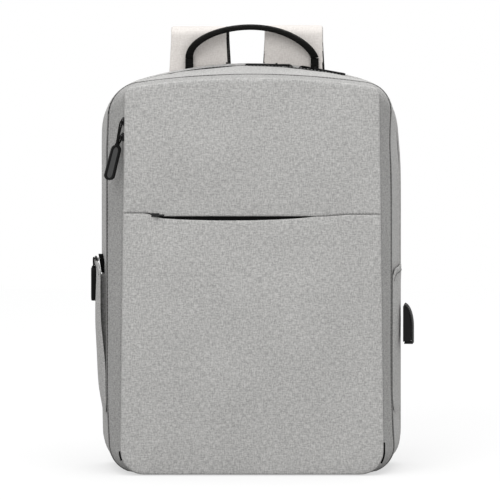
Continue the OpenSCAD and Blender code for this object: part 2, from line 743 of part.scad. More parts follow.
// Seen from the side, a strap rises behind the back, folds over and hangs down behind it. The
// fold is two plies: the root's outer ply and the pad's inner ply, which turns under it.
fold_r = strap_t / 2 + 9.8;                       // radius of the strap's middle in the fold
fold_y = y_strap + strap_t / 2 + fold_r;
fold_z = strap_top_z - strap_t / 2 - fold_r;
ply_gap = 0.3;
fold_steps = 8;
root_low = yoke_low - 6;
function fold_point(r, a) = [fold_y + r * cos(a), fold_z + r * sin(a)];
module strap_slice(w, x) { translate([x - w / 2, 0, 0]) rotate([90, 0, 90]) linear_extrude(w) children(); }
module strap_root(x) {
    outer = fold_r + strap_t / 2;
    middle = fold_r + ply_gap / 2;
    color(strap_cloth) strap_slice(strap_w, x) polygon(concat(
        [[y_strap, root_low]], [for (i = [0:fold_steps]) fold_point(outer, 180 - 90 * i / fold_steps)],
        [for (i = [fold_steps:-1:0]) fold_point(middle, 180 - 90 * i / fold_steps)],
        [[fold_y - middle, fold_z - 10], [y_strap + strap_t, fold_z - 14], [y_strap + strap_t, root_low]]));
}
module left_strap_root() { strap_root(left_strap_x); }
module right_strap_root() { strap_root(right_strap_x); }

// The hanging pad: thicker and further out as it goes down
pad_drop = 258;
pad_full_t = 10;
pad_flare = 22;
pad_narrow = 12;
pad_inward = 7;
pad_steps = 14;
pad_lap = 62;                                     // how far the pad's ply reaches up the fold
function pad_section(x, w, inner, outer) = [
    [x - w / 2, inner[0], inner[1]], [x + w / 2, inner[0], inner[1]],
    [x + w / 2, outer[0], outer[1]], [x - w / 2, outer[0], outer[1]]];
module strap_pad(x0, side) {
    inner_r = fold_r - strap_t / 2;
    ply_r = fold_r - ply_gap / 2;
    color(strap_cloth) skin(concat(
        [for (i = [0:fold_steps]) let (a = pad_lap * (1 - i / fold_steps))
            pad_section(x0, strap_w, fold_point(inner_r, a), fold_point(ply_r, a))],
        [for (i = [1:pad_steps]) let (s = i / pad_steps, z = fold_z - pad_drop * s,
                y = fold_y + inner_r - pad_inward * s, t = mix(ply_r - inner_r, pad_full_t, min(1, 5 * s)))
            pad_section(x0 + side * pad_flare * s * s, strap_w - pad_narrow * s * s, [y, z], [y + t, z])]));
}
module left_strap_pad() { strap_pad(left_strap_x, -1); }
module right_strap_pad() { strap_pad(right_strap_x, 1); }

// The ladder lock under the pad's end
lock_w = 36;
lock_h = 26;
lock_t = 4;
lock_bar = 4;
lock_side = 4;
webbing_w = 25;
webbing_t = 1.5;
function pad_end_x(x0, side) = x0 + side * pad_flare;
pad_end_y = fold_y + fold_r - strap_t / 2 - pad_inward;
pad_end_z = fold_z - pad_drop;
lock_y = pad_end_y + pad_full_t / 2;
lock_top = pad_end_z - gap;
module strap_lock(x) {
    slot_h = (lock_h - 3 * lock_bar) / 2;
    color(black) difference() {
        block(x - lock_w / 2, x + lock_w / 2, lock_y - lock_t / 2, lock_y + lock_t / 2, lock_top - lock_h,
            lock_top);
        for (i = [1:2]) block(x - lock_w / 2 + lock_side, x + lock_w / 2 - lock_side, lock_y - lock_t,
            lock_y + lock_t, lock_top - i * (lock_bar + slot_h), lock_top - i * (lock_bar + slot_h) + slot_h);
    }
}
module left_strap_lock() { strap_lock(pad_end_x(left_strap_x, -1)); }
module right_strap_lock() { strap_lock(pad_end_x(right_strap_x, 1)); }

// The webbing from the lock down to the anchor at the bag's lower corner
anchor_x = 118;
anchor_z = 44;
anchor_h = 30;
anchor_t = 2.4;
webbing_steps = 6;
webbing_sag = 6;
webbing_end_y = y_back + gap + anchor_t + gap + webbing_t / 2;
module webbing(x0, side) {
    from = [x0, lock_y, lock_top - lock_h - gap];
    to = [side * anchor_x, webbing_end_y, anchor_z];
    color(black) skin([for (i = [0:webbing_steps]) let (s = i / webbing_steps,
            p = mix(from, to, s) + [0, webbing_sag * 4 * s * (1 - s), 0])
        [[p[0] - webbing_w / 2, p[1] - webbing_t / 2, p[2]], [p[0] + webbing_w / 2, p[1] - webbing_t / 2, p[2]],
            [p[0] + webbing_w / 2, p[1] + webbing_t / 2, p[2]],
            [p[0] - webbing_w / 2, p[1] + webbing_t / 2, p[2]]]]);
}
module left_webbing() { webbing(pad_end_x(left_strap_x, -1), -1); }
module right_webbing() { webbing(pad_end_x(right_strap_x, 1), 1); }
// The triangular tab sewn into the lower corner
module strap_anchor(side) {
    half = webbing_w / 2 + 2;
    color(grey_cloth) sheet_between(y_back + gap, y_back + gap + anchor_t)
        polygon([[side * anchor_x - half, anchor_z + anchor_h / 2], [side * anchor_x + half, anchor_z + anchor_h / 2],
            [side * anchor_x + half * (side > 0 ? 1.2 : 0.4), anchor_z - anchor_h / 2],
            [side * anchor_x - half * (side > 0 ? 0.4 : 1.2), anchor_z - anchor_h / 2]]);
}
module left_strap_anchor() { strap_anchor(-1); }
module right_strap_anchor() { strap_anchor(1); }

// ---- Nodes ---------------------------------------------------------------------------------

front_gusset();
front_hem_strip();
front_zip_tape();
main_gusset();
main_zip_tape();
seam_binding();
base_board();
divider_panel();
organiser_pocket();
pen_pocket();
left_pocket_panel();
left_pocket_zip();
right_pocket_panel();
right_pocket_hem();
port_housing();
port_shell();
port_tongue();
port_cover();
front_upper_panel();
front_pocket_panel();
front_pocket_backing();
front_pocket_zip();
front_pocket_slider();
front_pocket_pull();
upper_slider();
upper_pull_cord();
upper_pull_grip();
lower_slider();
lower_pull_cord();
lower_pull_grip();
side_slider();
side_pull_cord();
side_pull_grip();
main_left_slider();
main_left_pull_cord();
main_left_pull_grip();
main_right_slider();
main_right_pull_cord();
main_right_pull_grip();
back_panel();
left_back_pad();
right_back_pad();
strap_yoke();
luggage_band();
laptop_sleeve();
sleeve_strap();
left_handle_foot();
right_handle_foot();
carry_handle();
left_strap_root();
right_strap_root();
left_strap_pad();
right_strap_pad();
left_strap_lock();
right_strap_lock();
left_webbing();
right_webbing();
left_strap_anchor();
right_strap_anchor();
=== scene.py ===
"""Looks of the laptop backpack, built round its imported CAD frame. Lengths in the code are millimetres."""
import json
import math

import bmesh
import bpy
import numpy as np
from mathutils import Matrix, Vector, noise


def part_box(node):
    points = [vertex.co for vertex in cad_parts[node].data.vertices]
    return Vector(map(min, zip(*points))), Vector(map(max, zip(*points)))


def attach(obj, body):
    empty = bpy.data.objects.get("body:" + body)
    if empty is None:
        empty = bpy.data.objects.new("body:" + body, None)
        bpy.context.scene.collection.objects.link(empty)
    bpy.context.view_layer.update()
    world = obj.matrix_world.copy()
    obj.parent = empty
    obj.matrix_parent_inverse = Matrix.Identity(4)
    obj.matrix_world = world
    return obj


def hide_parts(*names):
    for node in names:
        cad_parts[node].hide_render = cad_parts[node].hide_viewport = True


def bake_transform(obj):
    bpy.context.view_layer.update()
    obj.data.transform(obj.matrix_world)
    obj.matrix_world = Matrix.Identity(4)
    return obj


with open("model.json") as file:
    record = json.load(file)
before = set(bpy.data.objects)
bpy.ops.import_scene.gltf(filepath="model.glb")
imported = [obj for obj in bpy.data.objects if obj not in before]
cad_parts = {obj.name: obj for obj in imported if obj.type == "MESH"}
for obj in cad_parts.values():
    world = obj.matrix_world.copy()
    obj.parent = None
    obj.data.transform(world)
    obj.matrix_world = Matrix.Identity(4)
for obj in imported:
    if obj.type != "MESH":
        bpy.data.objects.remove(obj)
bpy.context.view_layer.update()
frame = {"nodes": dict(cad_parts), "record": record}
MM = 0.001
JOINTS = {j["name"]: j for j in frame["record"]["behaviour"]["joints"]}


def box(node):
    """A CAD node's low and high corners."""
    low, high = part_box(node)
    return np.array(low) / MM, np.array(high) / MM


def spot(node):
    """A CAD node's centre and size."""
    low, high = box(node)
    return (low + high) / 2, high - low


def stack(*parts):
    """Points from their coordinates, each of them one number or an array."""
    return np.stack(np.broadcast_arrays(*parts), -1)


def unit(v):
    return v / np.linalg.norm(v, axis=-1, keepdims=True)


def ease(t):
    """0 to 1, starting and ending gently."""
    t = np.clip(t, 0, 1)
    return t * t * (3 - 2 * t)


def smoothed(points, rounds):
    points = np.array(points, float)
    for _ in range(rounds):
        points[1:-1] = (points[:-2] + 2 * points[1:-1] + points[2:]) / 4
    return points


# ---- Stations and outlines, as in the CAD source ----
FACE_LOW, FACE_HIGH = box("front_upper_panel")
TAPE_LOW, TAPE_HIGH = box("main_zip_tape")
BACK_LOW, BACK_HIGH = box("back_panel")
Y_FRONT, Y_COVER_BACK = FACE_LOW[1], FACE_HIGH[1]
Y_SEAM = box("front_gusset")[1][1]
Y_GUSSET_BACK = box("main_gusset")[1][1]
Y_BACK = BACK_HIGH[1]
SEAM_HALF = 142.0
BACK_HALF = BACK_HIGH[0]
FACE_HALF = 127.0
FACE_SPREAD = 264 / 254 - 1
FACE_TOP_R, FACE_BASE_R, FACE_DOME = 10.0, 24.0, 840.0
SEAM_TOP_R, SEAM_BASE_R, SEAM_DOME, SEAM_H = 32.0, 27.0, 800.0, 399.0
BACK_TOP_R, BACK_BASE_R, BACK_DOME = 52.0, 32.0, 400.0
STEPS = {"base": 10, "corner": 12, "side": 40, "dome": 26}
HALF_COUNT = STEPS["base"] + 2 * STEPS["corner"] + STEPS["side"] + STEPS["dome"]
RING = 2 * HALF_COUNT
SIDE_START = STEPS["base"] + STEPS["corner"]
SEAM_LEAN_LEFT, SEAM_LEAN_RIGHT, BACK_LEAN = 2.8, 3.2, 1.3
SHOULDER_Z, SHOULDER_DROP = 352, 3.6


def arc(cx, cz, r, start, end, steps):
    a = np.radians(np.linspace(start, end, steps + 1)[1:])
    return stack(cx + r * np.cos(a), cz + r * np.sin(a))


def half_outline(half, crown, dome, top_r, base_r):
    lean = math.degrees(math.asin((half - top_r) / (dome - top_r)))
    top_cz = crown - dome + (dome - top_r) * math.cos(math.radians(lean))
    base = [[(half - base_r) * i / STEPS["base"], 0] for i in range(STEPS["base"] + 1)]
    side = [[half, base_r + (top_cz - base_r) * i / STEPS["side"]] for i in range(1, STEPS["side"] + 1)]
    return np.concatenate([base, arc(half - base_r, base_r, base_r, -90, 0, STEPS["corner"]), side,
                           arc(half - top_r, top_cz, top_r, 0, 90 - lean, STEPS["corner"]),
                           arc(0, crown - dome, dome, 90 - lean, 90, STEPS["dome"])])


def full(half):
    return np.concatenate([half, half[-2:0:-1] * [-1, 1]])


def face_half_at(z):
    return FACE_HALF * (1 + FACE_SPREAD * (1 - z / FACE_HIGH[2]))


FACE_RING = half_outline(FACE_HALF, FACE_HIGH[2], FACE_DOME, FACE_TOP_R, FACE_BASE_R)
FACE_RING[:, 0] *= 1 + FACE_SPREAD * (1 - FACE_RING[:, 1] / FACE_HIGH[2])
FACE_RING = full(FACE_RING)
SEAM_RING = full(half_outline(SEAM_HALF, SEAM_H, SEAM_DOME, SEAM_TOP_R, SEAM_BASE_R))
BACK_RING = full(half_outline(BACK_HALF, BACK_HIGH[2], BACK_DOME, BACK_TOP_R, BACK_BASE_R))


def shares(y):
    """How near a depth is to the seam between the gussets and to the back, from 0 to 1."""
    ahead = np.clip((y - Y_FRONT) / (Y_SEAM - Y_FRONT), 0, 1)
    behind = np.clip((y - Y_SEAM) / (Y_BACK - Y_SEAM), 0, 1)
    return np.minimum(ahead, 1 - behind), behind


def settle(x, y, z):
    """How far the filled bag's side leans over: the seam shifts to the left, the left side leans out and
    the right shoulder drops."""
    seam, back = shares(y)
    upright = np.clip((z - 20) / 60, 0, 1) * np.clip((385 - z) / 60, 0, 1)
    shoulder = np.exp(-((z - SHOULDER_Z) / 36) ** 2) * (0.7 * seam + back)
    left = (SEAM_LEAN_LEFT * seam + BACK_LEAN * back) * upright
    right = SEAM_LEAN_RIGHT * seam * upright + SHOULDER_DROP * shoulder
    return -np.clip(np.abs(x) / SEAM_HALF, 0, 1) ** 4 * np.where(x < 0, left, right)


def outline_at(y):
    if y < Y_SEAM:
        t = (y - Y_FRONT) / (Y_SEAM - Y_FRONT)
        ring = FACE_RING * (1 - t) + SEAM_RING * t
    else:
        t = (y - Y_SEAM) / (Y_BACK - Y_SEAM)
        ring = SEAM_RING * (1 - t) + BACK_RING * t
    return stack(ring[:, 0] + settle(ring[:, 0], y, ring[:, 1]), ring[:, 1])


def normals_of(ring):
    ahead = unit(np.roll(ring, -1, 0) - np.roll(ring, 1, 0))
    return stack(ahead[:, 1], -ahead[:, 0])


def wall_points(y, out):
    """Points of the outline at depth y, moved out of it by out, one number or one for each point."""
    ring = outline_at(y)
    flat = ring + normals_of(ring) * np.reshape(out, (-1, 1))
    return stack(flat[:, 0], y, flat[:, 1])


# ---- Materials ----
def node(tree, kind, inputs=None, **settings):
    made = tree.nodes.new(kind)
    for key, value in settings.items():
        setattr(made, key, value)
    for key, value in (inputs or {}).items():
        if isinstance(value, bpy.types.NodeSocket):
            tree.links.new(value, made.inputs[key])
        else:
            made.inputs[key].default_value = value
    return made


def math_node(tree, operation, a, b=0.0):
    return node(tree, "ShaderNodeMath", {0: a, 1: b}, operation=operation).outputs[0]


def ranged(tree, value, low, high, to_low=0.0, to_high=1.0):
    return node(tree, "ShaderNodeMapRange", {0: value, 1: low, 2: high, 3: to_low, 4: to_high}).outputs[0]


def blended(tree, share, first, second):
    """A mix of two colours, each of them a tuple or a socket."""
    return node(tree, "ShaderNodeMix", {0: share, 6: first, 7: second}, data_type="RGBA").outputs[2]


def speckle(tree, place, scale, detail):
    return node(tree, "ShaderNodeTexNoise", {"Vector": place, "Scale": scale, "Detail": detail}).outputs[0]


def edges(tree, low, high, most):
    """Up to most along the shape's sharp edges, where it is rubbed."""
    return ranged(tree, node(tree, "ShaderNodeNewGeometry").outputs["Pointiness"], low, high, 0.0, most)


def bump_node(tree, height, strength, distance):
    inputs = {"Height": height, "Strength": strength, "Distance": distance}
    return node(tree, "ShaderNodeBump", inputs).outputs[0]


def new_material(name):
    material = bpy.data.materials.new(name)
    material.use_nodes = True
    tree = material.node_tree
    return material, tree, tree.nodes["Principled BSDF"]


def cloth_plane(tree):
    """Coordinates in the plane that a fabric surface faces, so that a weave needs no UVs."""
    place = node(tree, "ShaderNodeTexCoord")
    at = node(tree, "ShaderNodeSeparateXYZ", {0: place.outputs["Object"]}).outputs
    facing = node(tree, "ShaderNodeSeparateXYZ", {0: place.outputs["Normal"]}).outputs
    sideways = math_node(tree, "GREATER_THAN", math_node(tree, "ABSOLUTE", facing[0]), 0.62)
    upward = math_node(tree, "GREATER_THAN", math_node(tree, "ABSOLUTE", facing[2]), 0.62)
    u = node(tree, "ShaderNodeMix", {0: sideways, 2: at[0], 3: at[1]}).outputs[0]
    v = node(tree, "ShaderNodeMix", {0: upward, 2: at[2], 3: at[1]}).outputs[0]
    return u, v, place.outputs["Object"]


def threads(tree, u, v, along, across):
    moved = node(tree, "ShaderNodeCombineXYZ", {0: math_node(tree, "MULTIPLY", u, along),
                                                1: math_node(tree, "MULTIPLY", v, across)}).outputs[0]
    return speckle(tree, moved, 1.0, 2.0)


def cloth(name, light, dark, pitch=0.8, bump=0.35, roughness=0.92, sheen=0.12, melange=1.0):
    """Woven cloth: two-tone threads along and across, a weave in the bump, and slow colour variation."""
    material, tree, shader = new_material(name)
    u, v, place = cloth_plane(tree)
    weft, warp = threads(tree, u, v, 190.0, 900.0), threads(tree, u, v, 900.0, 190.0)
    grain = threads(tree, u, v, 620.0, 620.0)
    yarns = math_node(tree, "MULTIPLY", math_node(tree, "ADD", weft, warp), 0.34 * melange)
    mixed = math_node(tree, "ADD", yarns, math_node(tree, "MULTIPLY", grain, 0.32 * melange))
    low = 0.5 * melange - 0.09
    tone = blended(tree, ranged(tree, mixed, low, low + 0.18), (*dark, 1), (*light, 1))
    uneven = ranged(tree, speckle(tree, place, 16.0, 3.0), 0.3, 0.7, 0.955, 1.03)
    tone = node(tree, "ShaderNodeVectorMath", {0: tone, 3: uneven}, operation="SCALE").outputs[0]
    tone = blended(tree, edges(tree, 0.52, 0.62, 0.16), tone, (*[min(1, c * 1.25) for c in light], 1))
    turns = 2000 * math.pi / pitch
    weave = math_node(tree, "MULTIPLY", math_node(tree, "SINE", math_node(tree, "MULTIPLY", u, turns)),
                      math_node(tree, "SINE", math_node(tree, "MULTIPLY", v, turns)))
    height = math_node(tree, "ADD", math_node(tree, "MULTIPLY", weave, 0.5), mixed)
    tree.links.new(tone, shader.inputs["Base Color"])
    tree.links.new(bump_node(tree, height, bump, 0.0003), shader.inputs["Normal"])
    shader.inputs["Roughness"].default_value = roughness
    shader.inputs["Sheen Weight"].default_value = sheen
    shader.inputs["Specular IOR Level"].default_value = 0.25
    return material


def ribbed(name, light, dark, pitch, bump=0.6, roughness=0.8, cross=0.0):
    """Webbing, zip tape or spacer mesh: ribs across the plane, and cross ribs for an open mesh."""
    material, tree, shader = new_material(name)
    u, v, place = cloth_plane(tree)
    turns = 2000 * math.pi / pitch
    rib_v = math_node(tree, "SINE", math_node(tree, "MULTIPLY", v, turns))
    rib_u = math_node(tree, "SINE", math_node(tree, "MULTIPLY", u, turns))
    height = math_node(tree, "ADD", rib_v, math_node(tree, "MULTIPLY", rib_u, cross))
    height = math_node(tree, "ADD", height, speckle(tree, place, 900.0, 2.0))
    tone = blended(tree, ranged(tree, height, -0.8, 1.6), (*dark, 1), (*light, 1))
    tree.links.new(tone, shader.inputs["Base Color"])
    tree.links.new(bump_node(tree, height, bump, 0.0004), shader.inputs["Normal"])
    shader.inputs["Roughness"].default_value = roughness
    shader.inputs["Specular IOR Level"].default_value = 0.06
    return material


def moulded(name, colour, roughness, grain=1200.0, bump=0.08, wear=0.5, metallic=0.0, specular=0.5):
    """Moulded plastic, rubber or painted metal, with a fine grain and paler, rubbed edges."""
    material, tree, shader = new_material(name)
    place = node(tree, "ShaderNodeTexCoord").outputs["Object"]
    smudge = speckle(tree, place, 70.0, 4.0)
    rubbed = tuple(min(1.0, c * 2.0 + 0.012) for c in colour)
    tone = blended(tree, edges(tree, 0.53, 0.66, wear), (*colour, 1), (*rubbed, 1))
    gloss = ranged(tree, smudge, 0.3, 0.7, roughness * 0.85, min(1, roughness * 1.2))
    relief = bump_node(tree, speckle(tree, place, grain, 3.0), bump, 0.0002)
    tree.links.new(tone, shader.inputs["Base Color"])
    tree.links.new(gloss, shader.inputs["Roughness"])
    tree.links.new(relief, shader.inputs["Normal"])
    shader.inputs["Metallic"].default_value = metallic
    shader.inputs["Specular IOR Level"].default_value = specular
    return material


FACE = cloth("face_cloth", (0.555, 0.550, 0.538), (0.335, 0.332, 0.326))
# A darker copy of the face cloth for the wings: painted shade, as the wings face away from the light.
SHADED_WING_CLOTH = cloth("wing_cloth", (0.450, 0.445, 0.435), (0.255, 0.253, 0.248))
STRAP = cloth("strap_cloth", (0.76, 0.725, 0.695), (0.66, 0.622, 0.59))
LINING = cloth("lining_cloth", (0.040, 0.040, 0.044), (0.022, 0.022, 0.025), pitch=0.6, sheen=0.05)
BINDING = cloth("binding_cloth", (0.060, 0.060, 0.062), (0.035, 0.035, 0.036), pitch=0.5, sheen=0.05)
AIR_MESH = ribbed("air_mesh", (0.050, 0.050, 0.052), (0.008, 0.008, 0.008), 3.2, bump=0.9, cross=1.0)
EDGE_MESH = ribbed("edge_mesh", (0.050, 0.048, 0.046), (0.003, 0.003, 0.003), 2.4, bump=0.9, cross=1.0)
WEBBING = ribbed("black_webbing", (0.010, 0.010, 0.009), (0.004, 0.004, 0.004), 1.6)
ZIP = ribbed("zip_tape", (0.010, 0.010, 0.010), (0.003, 0.003, 0.003), 1.3)
CORD = ribbed("pull_cord", (0.012, 0.012, 0.012), (0.003, 0.003, 0.003), 1.5, bump=0.8, cross=1.0)
METAL = moulded("black_metal", (0.008, 0.008, 0.008), 0.4, wear=0.5, specular=0.3)
RUBBER = moulded("grip_rubber", (0.050, 0.050, 0.050), 0.6, bump=0.12, specular=0.3)
RIM = moulded("grip_rim", (0.003, 0.003, 0.003), 0.55, wear=0.1, specular=0.12)
GLOSS = moulded("port_plastic", (0.005, 0.005, 0.005), 0.3, bump=0.03, wear=0.2, specular=0.16)
STEEL = moulded("port_steel", (0.60, 0.60, 0.62), 0.3, metallic=1.0)
LOCK = moulded("lock_plastic", (0.010, 0.010, 0.010), 0.45, bump=0.1, specular=0.35)
BOARD = moulded("board_plastic", (0.06, 0.06, 0.06), 0.6, grain=400.0, bump=0.2)
THREAD = cloth("seam_thread", (0.30, 0.30, 0.295), (0.20, 0.20, 0.20), pitch=0.4)
DARK_THREAD = cloth("dark_thread", (0.06, 0.06, 0.06), (0.02, 0.02, 0.02), pitch=0.4)
BLACK_THREAD = cloth("black_thread", (0.010, 0.010, 0.010), (0.004, 0.004, 0.004), pitch=0.4,
                     sheen=0.0)
# Darker cloth for the seam welt and the left pocket's bellows: painted shade of the seam's groove and of the
# hollow under the pocket's front edge.
PAINTED_SHADE_CLOTH = cloth("painted_shade_cloth", (0.25, 0.247, 0.242), (0.15, 0.149, 0.146), pitch=0.6)
FLAP = ribbed("flap_rubber", (0.055, 0.055, 0.055), (0.008, 0.008, 0.008), 1.7, bump=0.5, roughness=0.6)


# ---- Mesh helpers ----
def make(name, points, faces, materials, body=None, replaced=(), slot=None, face_slots=None):
    mesh = bpy.data.meshes.new(name)
    mesh.from_pydata((np.asarray(points, float) * MM).tolist(), [], faces)
    for material in materials if isinstance(materials, list) else [materials]:
        mesh.materials.append(material)
    if face_slots is not None:
        mesh.polygons.foreach_set("material_index", face_slots)
    work = bmesh.new()
    work.from_mesh(mesh)
    bmesh.ops.recalc_face_normals(work, faces=work.faces)
    work.to_mesh(mesh)
    work.free()
    mesh.polygons.foreach_set("use_smooth", [True] * len(mesh.polygons))
    obj = bpy.data.objects.new(name, mesh)
    bpy.context.scene.collection.objects.link(obj)
    return dress(obj, body, replaced, slot)


def dress(obj, body, replaced=(), slot=None):
    if body:
        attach(obj, body)
    if replaced:
        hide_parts(*replaced)
    return obj


def quads(rows, columns, wrap_rows=False, wrap_columns=False):
    return [(i * columns + j, i * columns + (j + 1) % columns,
             (i + 1) % rows * columns + (j + 1) % columns, (i + 1) % rows * columns + j)
            for i in range(rows if wrap_rows else rows - 1)
            for j in range(columns if wrap_columns else columns - 1)]


def loft(name, sections, materials, body=None, closed=False, **more):
    """A surface through closed sections of equal point counts, with its two ends shut by fans to their
    middles unless it is a ring.
    """
    rows, columns = len(sections), len(sections[0])
    points = [p for s in sections for p in s]
    faces = quads(rows, columns, closed, True)
    if not closed:
        for row in (0, rows - 1):
            points.append(np.mean(sections[row], axis=0))
            faces += [(row * columns + j, row * columns + (j + 1) % columns, len(points) - 1)
                      for j in range(columns)]
    column_slots = more.pop("column_slots", None)
    if column_slots:
        more["face_slots"] = column_slots * rows if closed else column_slots * (rows - 1) + [0] * 2 * columns
    slots = more.pop("slot_of", None)
    if slots:
        more["face_slots"] = [slots(np.mean([points[k] for k in f], axis=0)) for f in faces]
    return make(name, points, faces, materials, body, **more)


def roll(d, r):
    """How far up its rounded edge a sheet is, from 0 at the edge to 1 at r inside it."""
    return np.sqrt(np.clip(1 - (1 - np.clip(d / r, 0, 1)) ** 2, 0, 1))


def ripple(points, size, amount, seed=0.0):
    """Gentle, repeatable unevenness: amount high, size across."""
    return amount * np.array([noise.noise(Vector(p) / size + Vector((seed, seed, 0))) for p in points])


def graded(count, size, edge):
    """0 to 1, with the first and last steps close together over the rounded edge."""
    near = edge / size * np.array([0, 0.04, 0.15, 0.4, 0.75, 1.1])
    return np.concatenate([near[:-1], np.linspace(near[-1], 1 - near[-1], count), (1 - near[:-1])[::-1]])


def along(points, shares):
    """Points at the given shares of a polyline's length."""
    steps = np.r_[0, np.cumsum(np.linalg.norm(np.diff(points, axis=0), axis=1))]
    return stack(*[np.interp(np.asarray(shares) * steps[-1], steps, column) for column in points.T])


def patch(outline, corners, nu, nv, edge):
    """A grid that fills a closed outline, whose sides part at four corner indices, anticlockwise from the
    bottom left, with each point's distance from the edge."""
    outline = np.asarray(outline, float)
    turned = np.roll(outline, -corners[0], 0)
    cuts = [(c - corners[0]) % len(outline) for c in corners] + [len(outline)]
    closed = np.vstack([turned, turned[:1]])
    bottom, right, top, left = [closed[cuts[k]:cuts[k + 1] + 1] for k in range(4)]
    size_u = np.linalg.norm(bottom[-1] - bottom[0])
    size_v = np.linalg.norm(left[0] - left[-1])
    us, vs = graded(nu, size_u, edge), graded(nv, size_v, edge)
    b, t, r, l = along(bottom, us), along(top[::-1], us), along(right, vs), along(left[::-1], vs)
    u, v = us[None, :, None], vs[:, None, None]
    grid = ((1 - v) * b[None] + v * t[None] + (1 - u) * l[:, None] + u * r[:, None]
            - (1 - u) * (1 - v) * b[0] - u * (1 - v) * b[-1] - (1 - u) * v * t[0] - u * v * t[-1])
    flat = grid.reshape(-1, 2)
    start, step = outline, np.roll(outline, -1, 0) - outline
    where = np.clip(((flat[:, None] - start) * step).sum(2) / np.maximum((step ** 2).sum(1), 1e-9), 0, 1)
    d = np.linalg.norm(flat[:, None] - start - where[..., None] * step, axis=2).min(1)
    rim = np.zeros((len(vs), len(us)), bool)
    rim[[0, -1]] = rim[:, [0, -1]] = True
    d[rim.ravel()] = 0
    return flat, d, rim.ravel(), len(vs), len(us)


def soft_panel(name, outline, corners, place, thick, materials, body=None, edge=2.5, nu=40, nv=60,
               front=None, back=None, dish=None, rim_width=0.0, **more):
    """A closed, sewn sheet or pad: place(x, z, offset) puts a point, and front, back and dish(x, z, d)
    shape its two sides and its middle, d being the distance from its edge. The second material may reach
    rim_width round onto the first side."""
    flat, d, rim, rows, columns = patch(outline, corners, nu, nv, edge)
    x, z = flat[:, 0], flat[:, 1]
    middle = dish(x, z, d) if dish else np.zeros(len(d))
    half = thick / 2 * roll(d, edge)
    ahead = middle + half + (front(x, z, d) if front else 0)
    behind = middle - half - (back(x, z, d) if back else 0)
    first = place(x, z, ahead)
    second = place(x, z, behind)
    inner = np.flatnonzero(~rim)
    index = np.arange(len(flat))
    index[inner] = len(flat) + np.arange(len(inner))
    faces = quads(rows, columns)
    count = len(faces)
    faces += [tuple(int(index[k]) for k in f[::-1]) for f in faces[:count]]
    slots = None
    if isinstance(materials, list):
        slots = [int(max(d[k] for k in f) < rim_width) for f in faces[:count]] + [1] * count
    return make(name, np.vstack([first, second[inner]]), faces, materials, body, face_slots=slots, **more)


def rounded(low, high, r, steps=6):
    """Outline of a rounded rectangle, anticlockwise from the bottom left, and its four corner indices."""
    r = min(r, (high[0] - low[0]) / 2.01, (high[1] - low[1]) / 2.01)
    points, corners = [], []
    for cx, cz, a in ((low[0] + r, low[1] + r, 180), (high[0] - r, low[1] + r, 270),
                      (high[0] - r, high[1] - r, 0), (low[0] + r, high[1] - r, 90)):
        corners.append(len(points) + steps // 2)
        points += [[cx + r * math.cos(math.radians(a + 90 * k / steps)),
                    cz + r * math.sin(math.radians(a + 90 * k / steps))] for k in range(steps + 1)]
    return np.array(points), corners


def facing(y, sign=-1):
    """place() for a panel that stands in a plane of constant y; offset 1 is towards sign."""
    return lambda x, z, offset: stack(x, y + sign * offset, z)


def signed_power(v, power):
    return np.sign(v) * np.abs(v) ** power


def section(width, thick, count=28, side=0.3, face=0.75):
    """A flat, round-edged cross section as (across, out) pairs."""
    a = np.linspace(0, 2 * math.pi, count, endpoint=False)
    return stack(width / 2 * signed_power(np.cos(a), side), thick / 2 * signed_power(np.sin(a), face))


def sweep(name, path, across, widths, thicks, materials, body=None, shape=section, **more):
    """A strap along path. across is its width's direction."""
    path = np.asarray(path, float)
    across = np.broadcast_to(np.asarray(across, float), path.shape)
    out = unit(np.cross(across, unit(np.gradient(path, axis=0))))
    widths, thicks = np.broadcast_to(widths, len(path)), np.broadcast_to(thicks, len(path))
    sections = [point + shape(width, thick) @ np.stack(sides)
                for point, width, thick, *sides in zip(path, widths, thicks, across, out)]
    return loft(name, sections, materials, body, **more)


def tube(name, path, radius, material, body=None, sides=8, closed=False, **more):
    path = np.asarray(path, float)
    ahead = unit(np.roll(path, -1, 0) - np.roll(path, 1, 0) if closed else np.gradient(path, axis=0))
    side = np.cross(ahead[0], [0.31, 0.52, 0.80])
    a = np.linspace(0, 2 * math.pi, sides, endpoint=False)[:, None]
    rings = []
    for point, way in zip(path, ahead):
        side = unit(side - way * (side @ way))
        rings.append(point + radius * (np.cos(a) * side + np.sin(a) * np.cross(way, side)))
    return loft(name, rings, material, body, closed=closed, **more)


def stitches(name, path, outward, material, body, pitch=3.6, length=2.5, radius=0.3):
    """A row of sewn stitches along a path that lies on the cloth. outward is one direction, or one for each
    point of the path."""
    path = np.asarray(path, float)
    outward = np.broadcast_to(np.asarray(outward, float), path.shape)
    count = max(2, int(np.linalg.norm(np.diff(path, axis=0), axis=1).sum() / pitch))
    at = (np.arange(count) + 0.5) / count
    centres = along(path, at)
    tips = unit(along(path, np.clip(at + 0.2 / count, 0, 1)) - centres)
    points, faces = [], []
    for c, t, n in zip(centres, tips, along(outward, at)):
        s = np.cross(n, t)
        start = len(points)
        for share, r in ((-0.5, 0.0), (-0.3, 1.0), (0.3, 1.0), (0.5, 0.0)):
            for a in np.linspace(0, 2 * math.pi, 5, endpoint=False):
                points.append(c + t * share * length + radius * r * (math.cos(a) * s + 0.8 * math.sin(a) * n))
        faces += [tuple(start + v for v in f) for f in quads(4, 5, False, True)]
    return make(name, points, faces, material, body)


